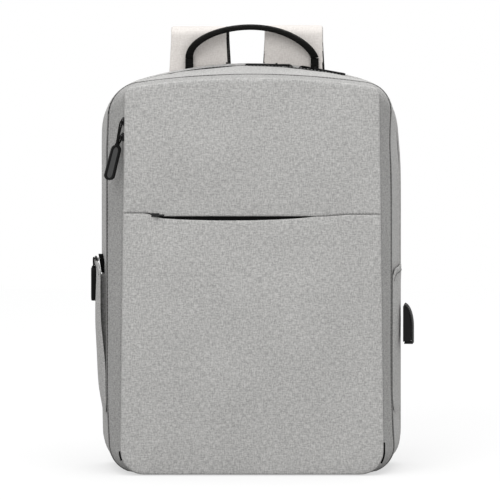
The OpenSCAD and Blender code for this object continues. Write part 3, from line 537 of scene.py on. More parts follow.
def keep_cad(name, material, bevel=0.4):
    """A CAD node shown as it is, with softened edges and its own material."""
    obj = frame["nodes"][name]
    obj.data.materials.clear()
    obj.data.materials.append(material)
    with bpy.context.temp_override(object=obj, active_object=obj, selected_objects=[obj]):
        bpy.ops.mesh.customdata_custom_splitnormals_clear()
    weld = obj.modifiers.new("weld", "WELD")
    weld.merge_threshold = 1e-5
    if bevel:
        soften = obj.modifiers.new("bevel", "BEVEL")
        soften.width, soften.segments, soften.limit_method = bevel * MM, 2, "ANGLE"
        soften.angle_limit = math.radians(35)
    obj.data.polygons.foreach_set("use_smooth", [True] * len(obj.data.polygons))
    obj.modifiers.new("normals", "WEIGHTED_NORMAL")
    return obj


def inflate(obj, voxel, pressure, cap, fixed, frames=16):
    """Remeshes a closed pad and swells it with a short cloth simulation. fixed(points) says what stays."""
    scene = bpy.context.scene
    bpy.context.view_layer.objects.active = obj
    remesh = obj.modifiers.new("remesh", "REMESH")
    remesh.mode, remesh.voxel_size, remesh.use_smooth_shade = "VOXEL", voxel * MM, True
    bpy.context.view_layer.update()
    shape = bpy.data.meshes.new_from_object(obj.evaluated_get(bpy.context.evaluated_depsgraph_get()))
    obj.modifiers.clear()
    obj.data = shape
    rest = np.array([v.co for v in shape.vertices])
    cloth_modifier = obj.modifiers.new("swell", "CLOTH")
    settings = cloth_modifier.settings
    settings.use_pressure, settings.uniform_pressure_force = True, pressure
    settings.effector_weights.gravity = 0
    settings.quality = 5
    settings.tension_stiffness = settings.compression_stiffness = 20
    group = obj.vertex_groups.new(name="held")
    group.add([int(k) for k in np.flatnonzero(fixed(rest / MM))], 1.0, "REPLACE")
    settings.vertex_group_mass = "held"
    cloth_modifier.point_cache.frame_start, cloth_modifier.point_cache.frame_end = 1, frames
    for k in range(1, frames + 1):
        scene.frame_set(k)
    swollen = obj.evaluated_get(bpy.context.evaluated_depsgraph_get()).to_mesh()
    moved = np.array([v.co for v in swollen.vertices]) - rest
    obj.modifiers.clear()
    scene.frame_set(1)
    far = np.linalg.norm(moved, axis=1)
    moved *= np.minimum(1, cap * MM / np.maximum(far, 1e-9))[:, None]
    shape.vertices.foreach_set("co", (rest + moved).ravel())
    shape.polygons.foreach_set("use_smooth", [True] * len(shape.polygons))
    work = bmesh.new()
    work.from_mesh(shape)
    for _ in range(2):
        bmesh.ops.smooth_vert(work, verts=work.verts, factor=0.5, use_axis_x=True, use_axis_y=True,
                              use_axis_z=True)
    work.to_mesh(shape)
    work.free()
    finer = obj.modifiers.new("finer", "SUBSURF")
    finer.levels = finer.render_levels = 1
    return obj


# ---- Body of the bag ----
def band(name, stations, material, body, thick=3.0, edge=1.6, first=0, count=RING, crease=3.0, seed=0.0,
         tape=False, beside=0.0, **more):
    """A gusset along the outline. stations is a list of [depth y, height out of the outline]. A tape's inner
    side follows its outer side. beside raises the rear edge down the bag's sides, where it isn't seen from
    the front."""
    stations = np.asarray(stations, float)
    low, high = stations[0, 0], stations[-1, 0]
    ys = low + (high - low) * graded(len(stations) * 3, high - low, edge)
    puff = smoothed(np.interp(ys, stations[:, 0], stations[:, 1]), 2)
    d = np.minimum(ys - low, high - ys)
    keep = (first + np.arange(count)) % RING
    rows = []
    for y, level, share in zip(ys, puff + thick * 0.5 * (roll(d, edge) - 1), np.clip(d / 8, 0, 1)):
        out = level + beside * at_side(y) * (1 if tape else np.clip((y - 24) / 20, 0, 1))
        points = wall_points(y, out)
        wave = crease * (ripple(points * [1, 2.2, 0.45], 16, 0.35, seed)
                         + ripple(points * [1, 1.5, 1], 45, 0.3, seed + 3))
        rows.append(wall_points(y, out + share * wave)[keep])
    under = puff * tape - thick * (0.5 + 0.5 * roll(d, edge))
    for y, inner in zip(ys[::-1][1:-1], under[::-1][1:-1]):
        rows.append(wall_points(y, inner + beside * at_side(y) * tape)[keep])
    if isinstance(material, list):
        more["column_slots"] = [0] * (len(ys) - 1) + [1] * (len(rows) - len(ys)) + [0]
    return loft(name, list(np.stack(rows, 1)), material, body, closed=count == RING, **more)


def at_side(y):
    """1 down the sides of the outline and 0 along its top."""
    return 1 - np.clip(normals_of(outline_at(y))[:, 1] / 0.5, 0, 1)


def seam_path(y, out, first=0, count=RING, beside=0.0):
    points = wall_points(y, out + beside * at_side(y))
    return points[(first + np.arange(count)) % RING]


def seam_out(y, first=0, count=RING):
    flat = normals_of(outline_at(y))[(first + np.arange(count)) % RING]
    return stack(flat[:, 0], 0.0, flat[:, 1])


ZIP_FIRST = SIDE_START + 1
ZIP_COUNT = RING - 2 * SIDE_START - 2
WING_EDGE = Y_COVER_BACK + 0.5
TOP_RIGHT = SIDE_START + STEPS["side"]
TOP_LEFT = RING - TOP_RIGHT - STEPS["corner"]
WING_STATIONS = [[WING_EDGE, -0.5], [-54, -0.9], [-50, -1.1], [-44, -0.5], [-34, 0.3], [-27, 0.7],
                 [-24, 1.2], [Y_SEAM, -0.2]]
GUSSET_STATIONS = [[Y_SEAM + 0.3, -0.2], [-16, 0.9], [5, 1.2], [28, 1.0], [40, 0.1], [Y_GUSSET_BACK, -1.8]]


def build_shell():
    zip_run = {"first": ZIP_FIRST, "count": ZIP_COUNT}
    tape = {"edge": 0.4, "crease": 0, "tape": True}
    middle = (TAPE_LOW[1] + TAPE_HIGH[1]) / 2
    # The wings wear the darker copy of the grey cloth, which is painted shade.
    band("wing", WING_STATIONS, [SHADED_WING_CLOTH, LINING], "shell", thick=2.6, crease=1.8, seed=1,
         replaced=("front_gusset", "front_hem_strip"), slot="wing_cloth")
    band("gusset", GUSSET_STATIONS, [FACE, LINING], "shell", crease=2.4, seed=7, beside=1.9,
         replaced=("main_gusset",), slot="face_cloth")
    band("front_zip", [[WING_EDGE, -3.2], [Y_FRONT + 5, -3.2], [Y_FRONT + 7.2, -3.2]], ZIP, "shell",
         thick=1.0, replaced=("front_zip_tape",), slot="zip_tape", **tape, **zip_run)
    tube("front_coil", seam_path(Y_COVER_BACK + 1.2, -4.4, **zip_run), 0.9, ZIP, "shell")
    band("main_zip", [[TAPE_LOW[1], -2.2], [middle, -2.0], [TAPE_HIGH[1], -0.2]], ZIP, "shell", thick=1.2,
         beside=-1.6, replaced=("main_zip_tape",), slot="zip_tape", **tape, **zip_run)
    tube("main_coil", seam_path(middle, -1.5, beside=-1.4, **zip_run), 1.0, ZIP, "shell")
    # The welt in the seam between the gussets is in the darker cloth: painted shade of the seam's groove.
    tube("seam_welt", seam_path(Y_SEAM + 0.1, 0.7), 0.9, PAINTED_SHADE_CLOTH, "shell", closed=True)
    band("seam_tape", [[Y_SEAM - 4, -3.2], [Y_SEAM, -3.3], [Y_SEAM + 4, -3.2]], BINDING, "shell", thick=0.9,
         replaced=("seam_binding",), slot="lining", **tape)
    for name, y, out, thread in (("wing_stitches", Y_SEAM - 2.4, 1.0, DARK_THREAD),
                                 ("gusset_stitches", Y_SEAM + 2.2, 0.45, THREAD)):
        stitches(name, seam_path(y, out), seam_out(y), thread, "shell")
    for name, start in (("right", TOP_RIGHT), ("left", TOP_LEFT)):
        steps = STEPS["corner"] + 1
        stitches(f"shoulder_stitches_{name}", seam_path(Y_SEAM - 0.6, 0.8, start, steps),
                 seam_out(Y_SEAM, start, steps), BLACK_THREAD, "shell", pitch=4.4, length=3.8, radius=0.6)
    for name, y, out in (("zip_stitches_front", TAPE_LOW[1] - 3.4, 0.0),
                         ("wing_edge_stitches", WING_EDGE + 2.4, -0.6)):
        stitches(name, seam_path(y, out, **zip_run), seam_out(y, **zip_run), THREAD, "shell")
    for name, start, count in (("right", SIDE_START - 4, 6), ("left", RING - SIDE_START, 4)):
        tube(f"zip_end_{name}", seam_path(Y_COVER_BACK + 0.8, 0.0, start, count), 0.9, ZIP, "shell")
    tube("zip_mouth", seam_path(Y_SEAM - 3.6, 0.1, SIDE_START + 1, 4), 0.9, ZIP, "shell")
    keep_cad("base_board", BOARD, 0.8)
    centre, size = spot("divider_panel")
    ring = SEAM_RING - normals_of(SEAM_RING) * 5.8
    channels = lambda x, z, d: 0.7 * quilt(z, d)
    soft_panel("divider", ring, corners_of_ring(), facing(centre[1]), size[1], LINING, "shell", nu=36, nv=50,
               front=channels, back=channels, replaced=("divider_panel",), slot="lining")


def corners_of_ring():
    """Ring indices in the middle of its four corners, anticlockwise from the bottom left."""
    half = STEPS["corner"] // 2
    right_low, right_high = STEPS["base"] + half, SIDE_START + STEPS["side"] + half
    return [RING - right_low, right_low, right_high, RING - right_high]


def quilt(z, d, pitch=46.0):
    """Sewn channels, 0 at a line of stitching and 1 between two, that fade out at the edge."""
    return np.abs(np.sin(math.pi * (z + 0.5 * pitch) / pitch)) ** 0.35 * np.clip(d / 10, 0, 1)


# ---- Front cover ----
SEAM_Z = 264.5
SLIT = 4.2
MOUTH_LEFT, MOUTH_RIGHT = -101.0, 68.0
FACE_BULGE = 2.6


def face_relief(x, z, d):
    """The face is a little full, and its cloth slightly uneven."""
    swell = FACE_BULGE * (1 - np.exp(-d / 45))
    wave = ripple(stack(x, 0.0, z), 60, 1.2, 4) + ripple(stack(x, 0.0, z * 0.5), 26, 0.5, 9)
    return swell + np.clip(d / 15, 0, 1) * wave


def mouth_share(x):
    inside = np.clip((x - MOUTH_LEFT) / (MOUTH_RIGHT - MOUTH_LEFT), 0, 1)
    return 4 * inside * (1 - inside)


def seam_height(x):
    """The seam over the pocket's mouth: level, pulled down along the mouth."""
    return SEAM_Z - 0.3 - 3.3 * ease((x - MOUTH_LEFT + 3) / 14) + 2.0 * ease((x - MOUTH_RIGHT + 2) / 34)


def build_cover():
    place = facing((Y_FRONT + Y_COVER_BACK) / 2)
    thick = Y_COVER_BACK - Y_FRONT
    edge_half = face_half_at(SEAM_Z)
    edge = np.linspace(-1, 1, 90) * edge_half
    half_ring = FACE_RING[:HALF_COUNT + 1]
    common = {"edge": 2.2, "nu": 46, "front": face_relief, "slot": "face_cloth"}
    # Upper panel: its lower edge is straight and stands over the pocket's mouth
    crown = half_ring[half_ring[:, 1] > SEAM_Z]
    outline = np.vstack([stack(edge, seam_height(edge) + 0.15), crown, crown[-2::-1] * [-1, 1]])
    corner = int(np.argmin(np.abs(crown[:, 1] - (FACE_HIGH[2] - 8)) + (crown[:, 0] < 100) * 99))
    corners = [0, 89, 90 + corner, len(outline) - 1 - corner]
    soft_panel("cover_upper", outline, corners, place, thick, [FACE, LINING], "front_cover", nv=34,
               replaced=("front_upper_panel",), **common)
    # Lower panel: its lip sags along the mouth
    sag = 4.0 * mouth_share(edge + 6) ** 0.75
    base = half_ring[half_ring[:, 1] < SEAM_Z - 6] + [0, 1.0]
    lip = stack(edge, seam_height(edge) - 0.15 - sag)
    outline = np.vstack([base[::-1][:-1] * [-1, 1], base, lip[::-1]])
    half, bend = len(base), STEPS["base"] + STEPS["corner"] // 2
    corners = [half - 1 - bend, half - 1 + bend, 2 * half - 1, len(outline) - 1]
    soft_panel("cover_pocket", outline, corners, place, thick, [FACE, LINING], "front_cover", nv=50,
               replaced=("front_pocket_panel",), **common)
    # The ledge of the upper panel beside the mouth is sewn down
    for name, start, end in (("left", 3 - edge_half, MOUTH_LEFT - 2),
                             ("right", MOUTH_RIGHT + 2, edge_half - 3)):
        x = np.linspace(start, end, 12)
        y = Y_FRONT - face_relief(x, np.full(12, SEAM_Z), np.full(12, 1.2)) - 0.1
        stitches(f"pocket_stitches_{name}", stack(x, y, seam_height(x) + 1.2), (0, -1, 0), THREAD,
                 "front_cover", pitch=3.2, length=2.0)
    low, high = box("front_pocket_backing")
    outline, corners = rounded(low[[0, 2]], high[[0, 2]], 10)
    depth = high[1] - Y_COVER_BACK - 2
    soft_panel("pocket_backing", outline, corners, facing(Y_COVER_BACK + 0.9, 1), 1.3, LINING, "front_cover",
               edge=0.8, dish=lambda x, z, d: depth * roll(d, 14), replaced=("front_pocket_backing",),
               slot="lining")
    low, high = box("front_pocket_zip")
    zip_z = lambda x: SEAM_Z - SLIT / 2 - 1.6 - 0.8 * mouth_share(x)
    x = np.linspace(low[0] + 1, high[0] - 1, 40)
    sweep("pocket_zip", stack(x, (low[1] + high[1]) / 2 + 0.2, zip_z(x)), (0, 0, 1), high[2] - low[2], 0.9,
          ZIP, "front_cover", replaced=("front_pocket_zip",), slot="zip_tape")
    x = np.linspace(MOUTH_LEFT, MOUTH_RIGHT, 40)
    tube("pocket_coil", stack(x, low[1] - 0.2, zip_z(x)), 0.8, ZIP, "front_cover")
    keep_cad("front_pocket_slider", METAL, 0.3)
    keep_cad("front_pocket_pull", METAL, 0.25)


# ---- Side pockets and port ----
WALL_LEAN = math.atan((BACK_HALF - SEAM_HALF) / (Y_BACK - Y_SEAM))
POCKET_U, POCKET_W = 2.0, 62.0
POCKET_LOW = 58.0
HEM_DIP = 8.0


def on_wall(side, u, n, z):
    """Points on the leaning side wall: u behind the seam, n off the wall, z up."""
    x = SEAM_HALF + u * math.sin(WALL_LEAN) + n * math.cos(WALL_LEAN)
    y = Y_SEAM + u * math.cos(WALL_LEAN) - n * math.sin(WALL_LEAN)
    x = side * x + settle(side * x, Y_SEAM + u, z)
    return stack(x, y, z)


def build_pocket(side, bulge, mouth, node_panel, node_hem, hem_slot, gap, rear):
    """A pocket on the wall: a sheet that bulges off it. Its front edge stands gap of the bulge off the wall
    near the mouth, over a bellows fold, and its rear edge stands rear of the bulge off it."""
    name = "left" if side < 0 else "right"
    outline, corners = rounded((POCKET_U, POCKET_LOW), (POCKET_U + POCKET_W, mouth + 3), 12)

    def rise(u, z):
        a = np.clip((u - POCKET_U) / POCKET_W, 0, 1)
        b = np.clip((z - POCKET_LOW) / (mouth - POCKET_LOW), 0, 1)
        edge = gap * ease((b - 0.22) / 0.5)
        front = edge + (1 - edge) * np.clip(a / 0.3, 0, 1) ** 0.6
        back = rear + (1 - rear) * (1 - np.clip((a - 0.6) / 0.4, 0, 1) ** 2)
        low = (1 - np.clip(1 - b / 0.55, 0, 1) ** 2) * 0.45 + 0.55 * (1 - (1 - b) ** 3)
        return bulge * low * front * back

    def stand(u, z, d):
        points = stack(u, side * 50, 0.5 * z)
        return 0.2 + rise(u, z) + np.clip(d / 10, 0, 1) * ripple(points, 24, 1.4, 5)

    def place(u, z, offset):
        return on_wall(side, u, 1.6 + offset, z)

    soft_panel(f"{name}_pocket", outline, corners, place, 1.5, [FACE, LINING], "shell", edge=1.0, nu=22,
               nv=40, dish=stand, replaced=(node_panel,), slot="face_cloth")
    u = np.linspace(POCKET_U + 0.8, POCKET_U + POCKET_W - 0.8, 30)
    z = mouth + 1.2 - HEM_DIP * (1 - np.clip((u - POCKET_U) / 14, 0, 1)) ** 2
    n = 1.8 + rise(u, z)
    sweep(f"{name}_hem", on_wall(side, u, n, z), (0, 0, 1), 4.0, 1.9, FACE, "shell", replaced=(node_hem,),
          slot=hem_slot)
    stitches(f"{name}_hem_stitches", on_wall(side, u, n + 1.0, z - 3.2), (side, 0, 0), BLACK_THREAD, "shell",
             pitch=3.2, length=2.4, radius=0.35)
    if gap:
        # The bellows fold behind the front edge, in the darker cloth that paints the shade of its hollow, and
        # the dark zip tape above it, at the mouth
        z = np.linspace(POCKET_LOW + 20, mouth - 8, 30)
        reach = rise(np.full(30, POCKET_U), z)
        sweep(f"{name}_bellows", on_wall(side, POCKET_U + 7.0, 1.0 + reach * 0.5, z),
              (math.cos(0.25) * side, math.sin(0.25), 0), reach + 1.4, 1.0, PAINTED_SHADE_CLOTH, "shell")
        up = np.linspace(-9, 10, 8)
        sweep(f"{name}_mouth_tape", on_wall(side, POCKET_U + 30.0 - 0.2 * up, 3.2 + 0.16 * up, mouth + up),
              (math.cos(0.2) * side, math.sin(0.2), 0), 5.0, 1.0, ZIP, "shell")


def build_port():
    keep_cad("port_housing", GLOSS, 0.7)
    keep_cad("port_shell", STEEL, 0.1)
    keep_cad("port_tongue", GLOSS, 0.2)
    keep_cad("port_cover", FLAP, 0.35)


def build_sides():
    build_pocket(-1, 7.4, 206.0, "left_pocket_panel", "left_pocket_zip", "zip_tape", 0.70, 0.5)
    build_pocket(1, 2.6, 200.0, "right_pocket_panel", "right_pocket_hem", "face_cloth", 0.0, 0.0)
    build_port()


# ---- Zip pulls ----
CORD_R = 0.85
SLIDER_W, SLIDER_T = 4.6, 2.0
# Insets from the grip's outline and heights, for a grip 10 wide and GRIP_T thick
GRIP_T = 4.0
GRIP_PROFILE = ((3.6, 1.35), (2.3, 1.35), (1.75, 1.5), (1.45, 1.9), (0.9, 2.0), (0.3, 1.75), (0.0, 1.1),
                (0.0, 0.0))
WING_OUT = (-0.94, -0.35, 0)
# Way out of the tape, sink, droop, cord, grip's length, width and thickness, shift, whether it lies flat
PULLS = {"upper": (WING_OUT, 3.0, 0.0, 24.0, 36, 10, 4.0, 2.4, False),
         "lower": (WING_OUT, 2.3, 0.0, 8.5, 36, 10, 4.0, -2.4, False),
         "side": ((-1, 0, 0), -1.0, 0.0, 9.0, 34, 8, 5.0, 0.0, True),
         "main_left": ((0, 0, 1), 3.4, 4.5, 13.0, 31, 6, 1.8, 0.0, True),
         "main_right": ((0, 0, 1), 3.4, 3.0, 13.0, 31, 6, 1.8, 0.0, True)}


def pull_axes(name, out, sink, upright=False, droop=0.0):
    """Pivot, and axes along the pivot, out of the tape, and from the pivot towards the pull's tip. sink moves
    the pivot into the tape and droop, in degrees, lowers the tip."""
    joint = JOINTS[f"{name}_hinge"]
    pivot = np.array(joint["pos_m"]) / MM
    x = unit(np.array(joint["axis"], float))
    out = unit(out - x * (out @ x))
    down = spot(f"{name}_grip")[0] - pivot
    down = unit(down - x * (down @ x))
    if np.cross(down, x) @ out < 0:
        x = -x
    pivot = pivot - out * sink
    if upright:
        return pivot, x, out, np.cross(x, out)
    out, t = np.cross(down, x), math.radians(droop)
    return pivot, x, out * math.cos(t) + down * math.sin(t), down * math.cos(t) - out * math.sin(t)


def build_grip(name, axes, length, width, start, shift, flat, thick, replaced):
    """A moulded grip: rounded rim, and a slightly sunk panel on both faces."""
    pivot, x, out, down = axes
    wide, face = (x, out) if flat else (out, x)
    count = 40
    a = np.linspace(0, 2 * math.pi, count, endpoint=False)
    half = np.array([width / 2, length / 2])
    rim_z = half[0] * (1 + np.sin(a)) + np.where(np.sin(a) > 1e-9, length - width, 0) - half[1]
    rim = stack(half[0] * np.cos(a), rim_z)
    rings = []
    for inset, height in GRIP_PROFILE:
        ring = rim * (half - inset * width / 10) / half + [0, half[1]]
        ring[:, 0] *= 1 - 0.14 * np.clip(1 - ring[:, 1] / length / 0.4, 0, 1)
        rings.append((ring, height * thick / GRIP_T))
    rings += [(ring, -height) for ring, height in rings[-2::-1]]
    base = pivot + x * shift + down * start
    points = [base + ring @ np.stack([wide, down]) + face * height for ring, height in rings]
    rows = len(points)
    slots = [int(i in (0, rows - 2)) for i in range(rows - 1) for _ in range(count)] + [1] * 2 * count
    loft(name, points, [RIM, RUBBER], replaced[0], face_slots=slots, replaced=replaced[1:],
         slot="grip_rubber")


def build_cord(name, axes, length, shift, body, replaced):
    """A loop of cord through the slider's bridge, whose two ends run into the grip through a collar."""
    pivot, x, _, down = axes
    half, drop, neck = 2.6, 4.4, 0.9
    route = [(shift - neck, length + 2), (shift - neck, length), (-half, drop), (-half, 0.6),
             (neck - half, -0.35), (half - neck, -0.35), (half, 0.6), (half, drop), (shift + neck, length),
             (shift + neck, length + 2)]
    route = pivot + np.array(route) @ np.stack([x, down])
    tube(name, smoothed(along(route, np.linspace(0, 1, 60)), 3), CORD_R, CORD, body, replaced=replaced,
         slot="pull_cord")
    collar = pivot + x * shift + down * length
    tube(f"{name}_collar", [collar + down * step for step in (-1.2, -0.4, 0.8)], 2.0, RIM, body, sides=14)


def build_slider(name, axes, base, length):
    """A low slider: a rounded body whose underside is base below the pivot, and the bridge that holds the
    cord."""
    pivot, x, out, down = axes
    slide = np.array(JOINTS[name.replace("slider", "zip_slide")]["axis"])
    side = x if abs(x @ slide) < 0.5 else down
    travel = np.cross(side, out)
    sections = []
    for h, grow in ((0.0, 0.82), (0.25, 1.0), (0.7, 1.0), (0.92, 0.9), (1.0, 0.7)):
        ring = section(length * grow, SLIDER_W * grow, 24, 0.55, 0.55)
        sections.append(pivot + out * (SLIDER_T * h - base) + ring @ np.stack([travel, side]))
    loft(name + "_body", sections, METAL, name, replaced=(name,), slot="black_metal")
    top, reach = SLIDER_T - base, length * 0.32
    rise = np.array([(1, top - 0.4), (0.8, top * 0.35), (0.3, 0.3)]) * [reach, 1]
    arch = pivot + np.vstack([rise * [-1, 1], rise[::-1]]) @ np.stack([travel, out])
    tube(name + "_bridge", along(arch, np.linspace(0, 1, 16)), 0.6, METAL, name)


def build_pulls():
    for name, (out, sink, droop, cord, length, width, thick, shift, flat) in PULLS.items():
        pull, out = f"{name}_pull", np.array(out, float)
        axes = pull_axes(pull, out, sink, droop=droop)
        if shift and (spot(f"{pull}_grip")[0] - axes[0]) @ axes[1] * shift < 0:
            shift = -shift
        build_cord(f"{pull}_loop", axes, cord, shift, pull, (f"{pull}_cord",))
        build_grip(f"{pull}_handle", axes, length, width, cord, shift, flat, thick, (pull, f"{pull}_grip"))
        build_slider(f"{name}_slider", pull_axes(pull, out, sink, upright=True), 3.2, 9.0)


# ---- Back section ----
def build_back():
    middle, thick = (BACK_LOW[1] + BACK_HIGH[1]) / 2, BACK_HIGH[1] - BACK_LOW[1]
    ring = outline_at(Y_BACK)
    ring = ring + normals_of(ring) * 0.8

    soft_panel("back_cushion", ring, corners_of_ring(), facing(middle), thick, [LINING, FACE], "back_section",
               edge=2.2, rim_width=3.5, nv=54, replaced=("back_panel",), slot="face_cloth")
    stitches("back_stitches", seam_path(Y_BACK - 0.2, -6.0), (0, 1, 0), THREAD, "back_section")
    for name in ("left_back_pad", "right_back_pad"):
        low, high = box(name)
        centre, size = spot(name)
        outline, corners = rounded((low[0] + 2, low[2] + 2), (high[0] - 2, high[2] - 2), 16)
        pad = soft_panel(f"{name}_mesh", outline, corners, facing(centre[1], 1), size[1] - 1, AIR_MESH, None,
                         edge=3.0, nu=24, nv=60)
        inflate(pad, voxel=4.0, pressure=4, cap=3.0, fixed=lambda p: p[:, 1] < low[1] + 1.2)
        dress(pad, "back_section", (name,), "air_mesh")
        tube(f"{name}_piping", stack(outline[:, 0], low[1] + 1.6, outline[:, 1]), 1.3, BINDING,
             "back_section", closed=True)
    low, high = box("strap_yoke")
    centre, size = spot("strap_yoke")
    outline, corners = rounded(low[[0, 2]], high[[0, 2]], 3)
    soft_panel("yoke", outline, corners, facing(centre[1], 1), size[1], WEBBING, "back_section", edge=0.8,
               nu=30, nv=10, replaced=("strap_yoke",), slot="black_webbing")
    for z in (low[2] + 3, high[2] - 3):
        stitches(f"yoke_stitches_{int(z)}", [[x, high[1] + 0.1, z] for x in (low[0] + 2, high[0] - 2)],
                 (0, 1, 0), THREAD, "back_section")
    build_luggage_band()
    for side, name in ((-1, "left_strap_anchor"), (1, "right_strap_anchor")):
        centre, size = spot(name)
        x, top, bottom = centre[0], centre[2] + size[2] / 2 - 1, centre[2] - size[2] / 2 + 1
        inner, outer = x - side * 7, x + side * 7 * 1.6
        outline = [[min(inner, outer), bottom], [max(inner, outer), bottom], [x + 13, top], [x - 13, top]]
        soft_panel(f"{name}_tab", outline, [0, 1, 2, 3], facing(centre[1], 1), size[1], FACE, "back_section",
                   edge=0.9, nu=12, nv=12, replaced=(name,), slot="face_cloth")
    for name in ("left_handle_foot", "right_handle_foot"):
        low, high = box(name)
        centre, size = spot(name)
        sweep(f"{name}_web", stack(centre[0], centre[1], np.linspace(low[2] - 1, high[2], 6)), (1, 0, 0),
              size[0], size[1], WEBBING, "back_section", replaced=(name,), slot="black_webbing")
    build_sleeve()


def build_luggage_band():
    low, high = box("luggage_band")
    centre, size = spot("luggage_band")
    x = np.linspace(low[0] + 1, high[0] - 1, 60)
    share = roll(np.minimum(x - x[0], x[-1] - x), 22)
    y = Y_BACK + 1.2 + (high[1] - Y_BACK - 1.8) * share
    sweep("band", stack(x, y, centre[2]), (0, 0, 1), size[2], 1.6, FACE, "back_section",
          replaced=("luggage_band",), slot="face_cloth")
    for dz in (-1, 1):
        stitches(f"band_stitches_{dz + 1}", stack(x, y + 0.9, centre[2] + dz * (size[2] - 7) / 2), (0, 1, 0),
                 THREAD, "back_section")


def tray(name, node_name, thick, sag, body):
    """A sewn pocket: one sheet round three sides, its mouth dipping by sag, and a floor."""
    low, high = box(node_name)
    r = min(6.0, (high[1] - low[1]) * 0.45)
    y0, y1 = low[1] + thick / 2, high[1]
    x0, x1 = low[0] + thick / 2, high[0] - thick / 2
    a = np.radians(np.linspace(180, 270, 7))
    left = stack(x0 + r + r * np.cos(a), y0 + r + r * np.sin(a))
    right = (left * [-1, 1] + [x0 + x1, 0])[::-1]
    plan = np.vstack([[[x0, y1]], left, stack(np.linspace(x0 + r, x1 - r, 30)[1:-1], y0), right, [[x1, y1]]])
    across = (plan[:, 0] - x0) / (x1 - x0)
    bow = 4 * across * (1 - across)
    ahead = unit(np.gradient(plan, axis=0))
    out = stack(ahead[:, 1], -ahead[:, 0]) * thick / 2
    sections = []
    for t in np.linspace(0, 1, 14):
        z = low[2] + (high[2] - low[2] - sag * bow) * t
        inner, outer = [stack(*(plan + s * out).T, z) for s in (-1, 1)]
        sections.append(np.vstack([inner, outer[::-1]]))
    loft(name, sections, LINING, body, replaced=(node_name,), slot="lining")
    tube(f"{name}_hem", stack(*plan.T, high[2] - sag * bow), thick * 0.55, BINDING, body)
    outline, corners = rounded((low[0] + 1, low[1] + 1), (high[0] - 1, high[1]), 2)
    soft_panel(f"{name}_floor", outline, corners, lambda x, y, o: stack(x, y, low[2] + thick / 2 + o), thick,
               LINING, body, edge=0.8, nu=16, nv=6)


def build_sleeve():
    tray("sleeve", "laptop_sleeve", 3.0, 6.0, "back_section")
    low, high = box("sleeve_strap")
    y0, y1, top = low[1] + 1, high[1] - 1, high[2] - 1
    bends = np.array([(y1, top - 11), (y1, top - 3), (y1 - 3, top), (y0 + 4, top), (y0, top - 4),
                      (y0, low[2] + 1)])
    path = along(stack(0.0, *bends.T), np.linspace(0, 1, 40))
    sweep("sleeve_tab", path, (1, 0, 0), high[0] - low[0], 1.8, BINDING, "sleeve_strap",
          replaced=("sleeve_strap",), slot="lining")


def build_inside():
    tray("organiser", "organiser_pocket", 1.2, 3.0, "shell")
    tray("pens", "pen_pocket", 1.2, 2.0, "shell")


# ---- Handle and straps ----
HANDLE_FOOT_W, HANDLE_FOOT_T, HANDLE_TOP_T = 4.4, 8.0, 5.0
PLY_T, FOLD_SQUARENESS = 5.6, 0.42
FLARE, NARROWING = 22.0, 12.0
PAD_END_R = 9.0
WEB_W, WEB_T, WEB_SAG = 25.0, 1.5, 6.0


def build_handle():
    low, high = box("carry_handle")
    a = np.radians(np.linspace(0, 180, 61))
    rise = np.sin(a)
    x = -(high[0] - 4.0) * np.cos(a) - 1.6 * rise
    z = low[2] + (high[2] - 2.4 - low[2]) * rise ** (1.14 - 0.14 * np.cos(a))
    width = HANDLE_FOOT_W + (high[1] - low[1] - HANDLE_FOOT_W) * np.minimum(1, rise * 1.6)
    thick = HANDLE_FOOT_T + (HANDLE_TOP_T - HANDLE_FOOT_T) * rise
    sweep("handle", smoothed(stack(x, high[1] - width / 2, z), 1), (0, 1, 0), width, thick, WEBBING,
          "carry_handle", shape=lambda w, t: section(w, t, 24, 0.45, 0.7), replaced=("carry_handle",),
          slot="black_webbing")


def build_strap(side, name):
    root_low, root_high = box(f"{name}_root")
    x0, width = (root_low[0] + root_high[0]) / 2, root_high[0] - root_low[0]
    fold = np.array(JOINTS[f"{name}_hinge"]["pos_m"]) / MM
    reach = root_high[2] - fold[2]
    build_ply(side, name, x0, width, fold, reach - (4.0 if side < 0 else 3.0), root_low[2])
    build_strap_pad(side, name, x0, width, fold, fold[1] + reach - 6.0)
    keep_cad(f"{name}_lock", LOCK, 0.7)
    build_webbing(name)


def build_ply(side, name, x0, width, fold, middle, root_z):
    """The strap's flat part: up from the yoke, squarely over the fold, and down into the hanging pad."""
    a = np.radians(np.linspace(180, 0, 22))
    over = [signed_power(np.round(share, 6), FOLD_SQUARENESS) for share in (np.cos(a), np.sin(a))]
    up = stack(x0, max(fold[1] - middle, Y_BACK + 3.3), np.linspace(root_z, fold[2], 27)[:-1])
    down = stack(x0, fold[1] + middle, fold[2] - np.linspace(0, 34, 13)[1:])
    path = np.vstack([up, stack(x0, fold[1] + middle * over[0], fold[2] + middle * over[1]), down])
    mesh_right = x0 + width / 2 - (4.0 if side < 0 else 1.6)
    mesh_left = x0 - width / 2 + 0.9

    def edge_slot(centre):
        return int(centre[0] > mesh_right or (side > 0 and centre[0] < mesh_left))

    def bend(piece):
        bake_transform(piece)

    spread = width + 1 - 3.5 * np.clip((path[:, 2] - 396) / 30, 0, 1)
    ply = sweep(f"{name}_ply", path, (1, 0, 0), spread, PLY_T, [STRAP, EDGE_MESH], None, slot_of=edge_slot,
                shape=lambda w, t: section(w, t, 36, 0.16, 0.5))
    dress(ply, None, (f"{name}_root",), "strap_cloth")
    bend(ply)
    for edge in (1,) if side < 0 else (-1, 1):
        rim = path + stack(edge * (spread / 2 - 0.7), 0.0, 0.0)
        bend(tube(f"{name}_ply_binding_{edge + 1}", rim, 0.8, EDGE_MESH, None))


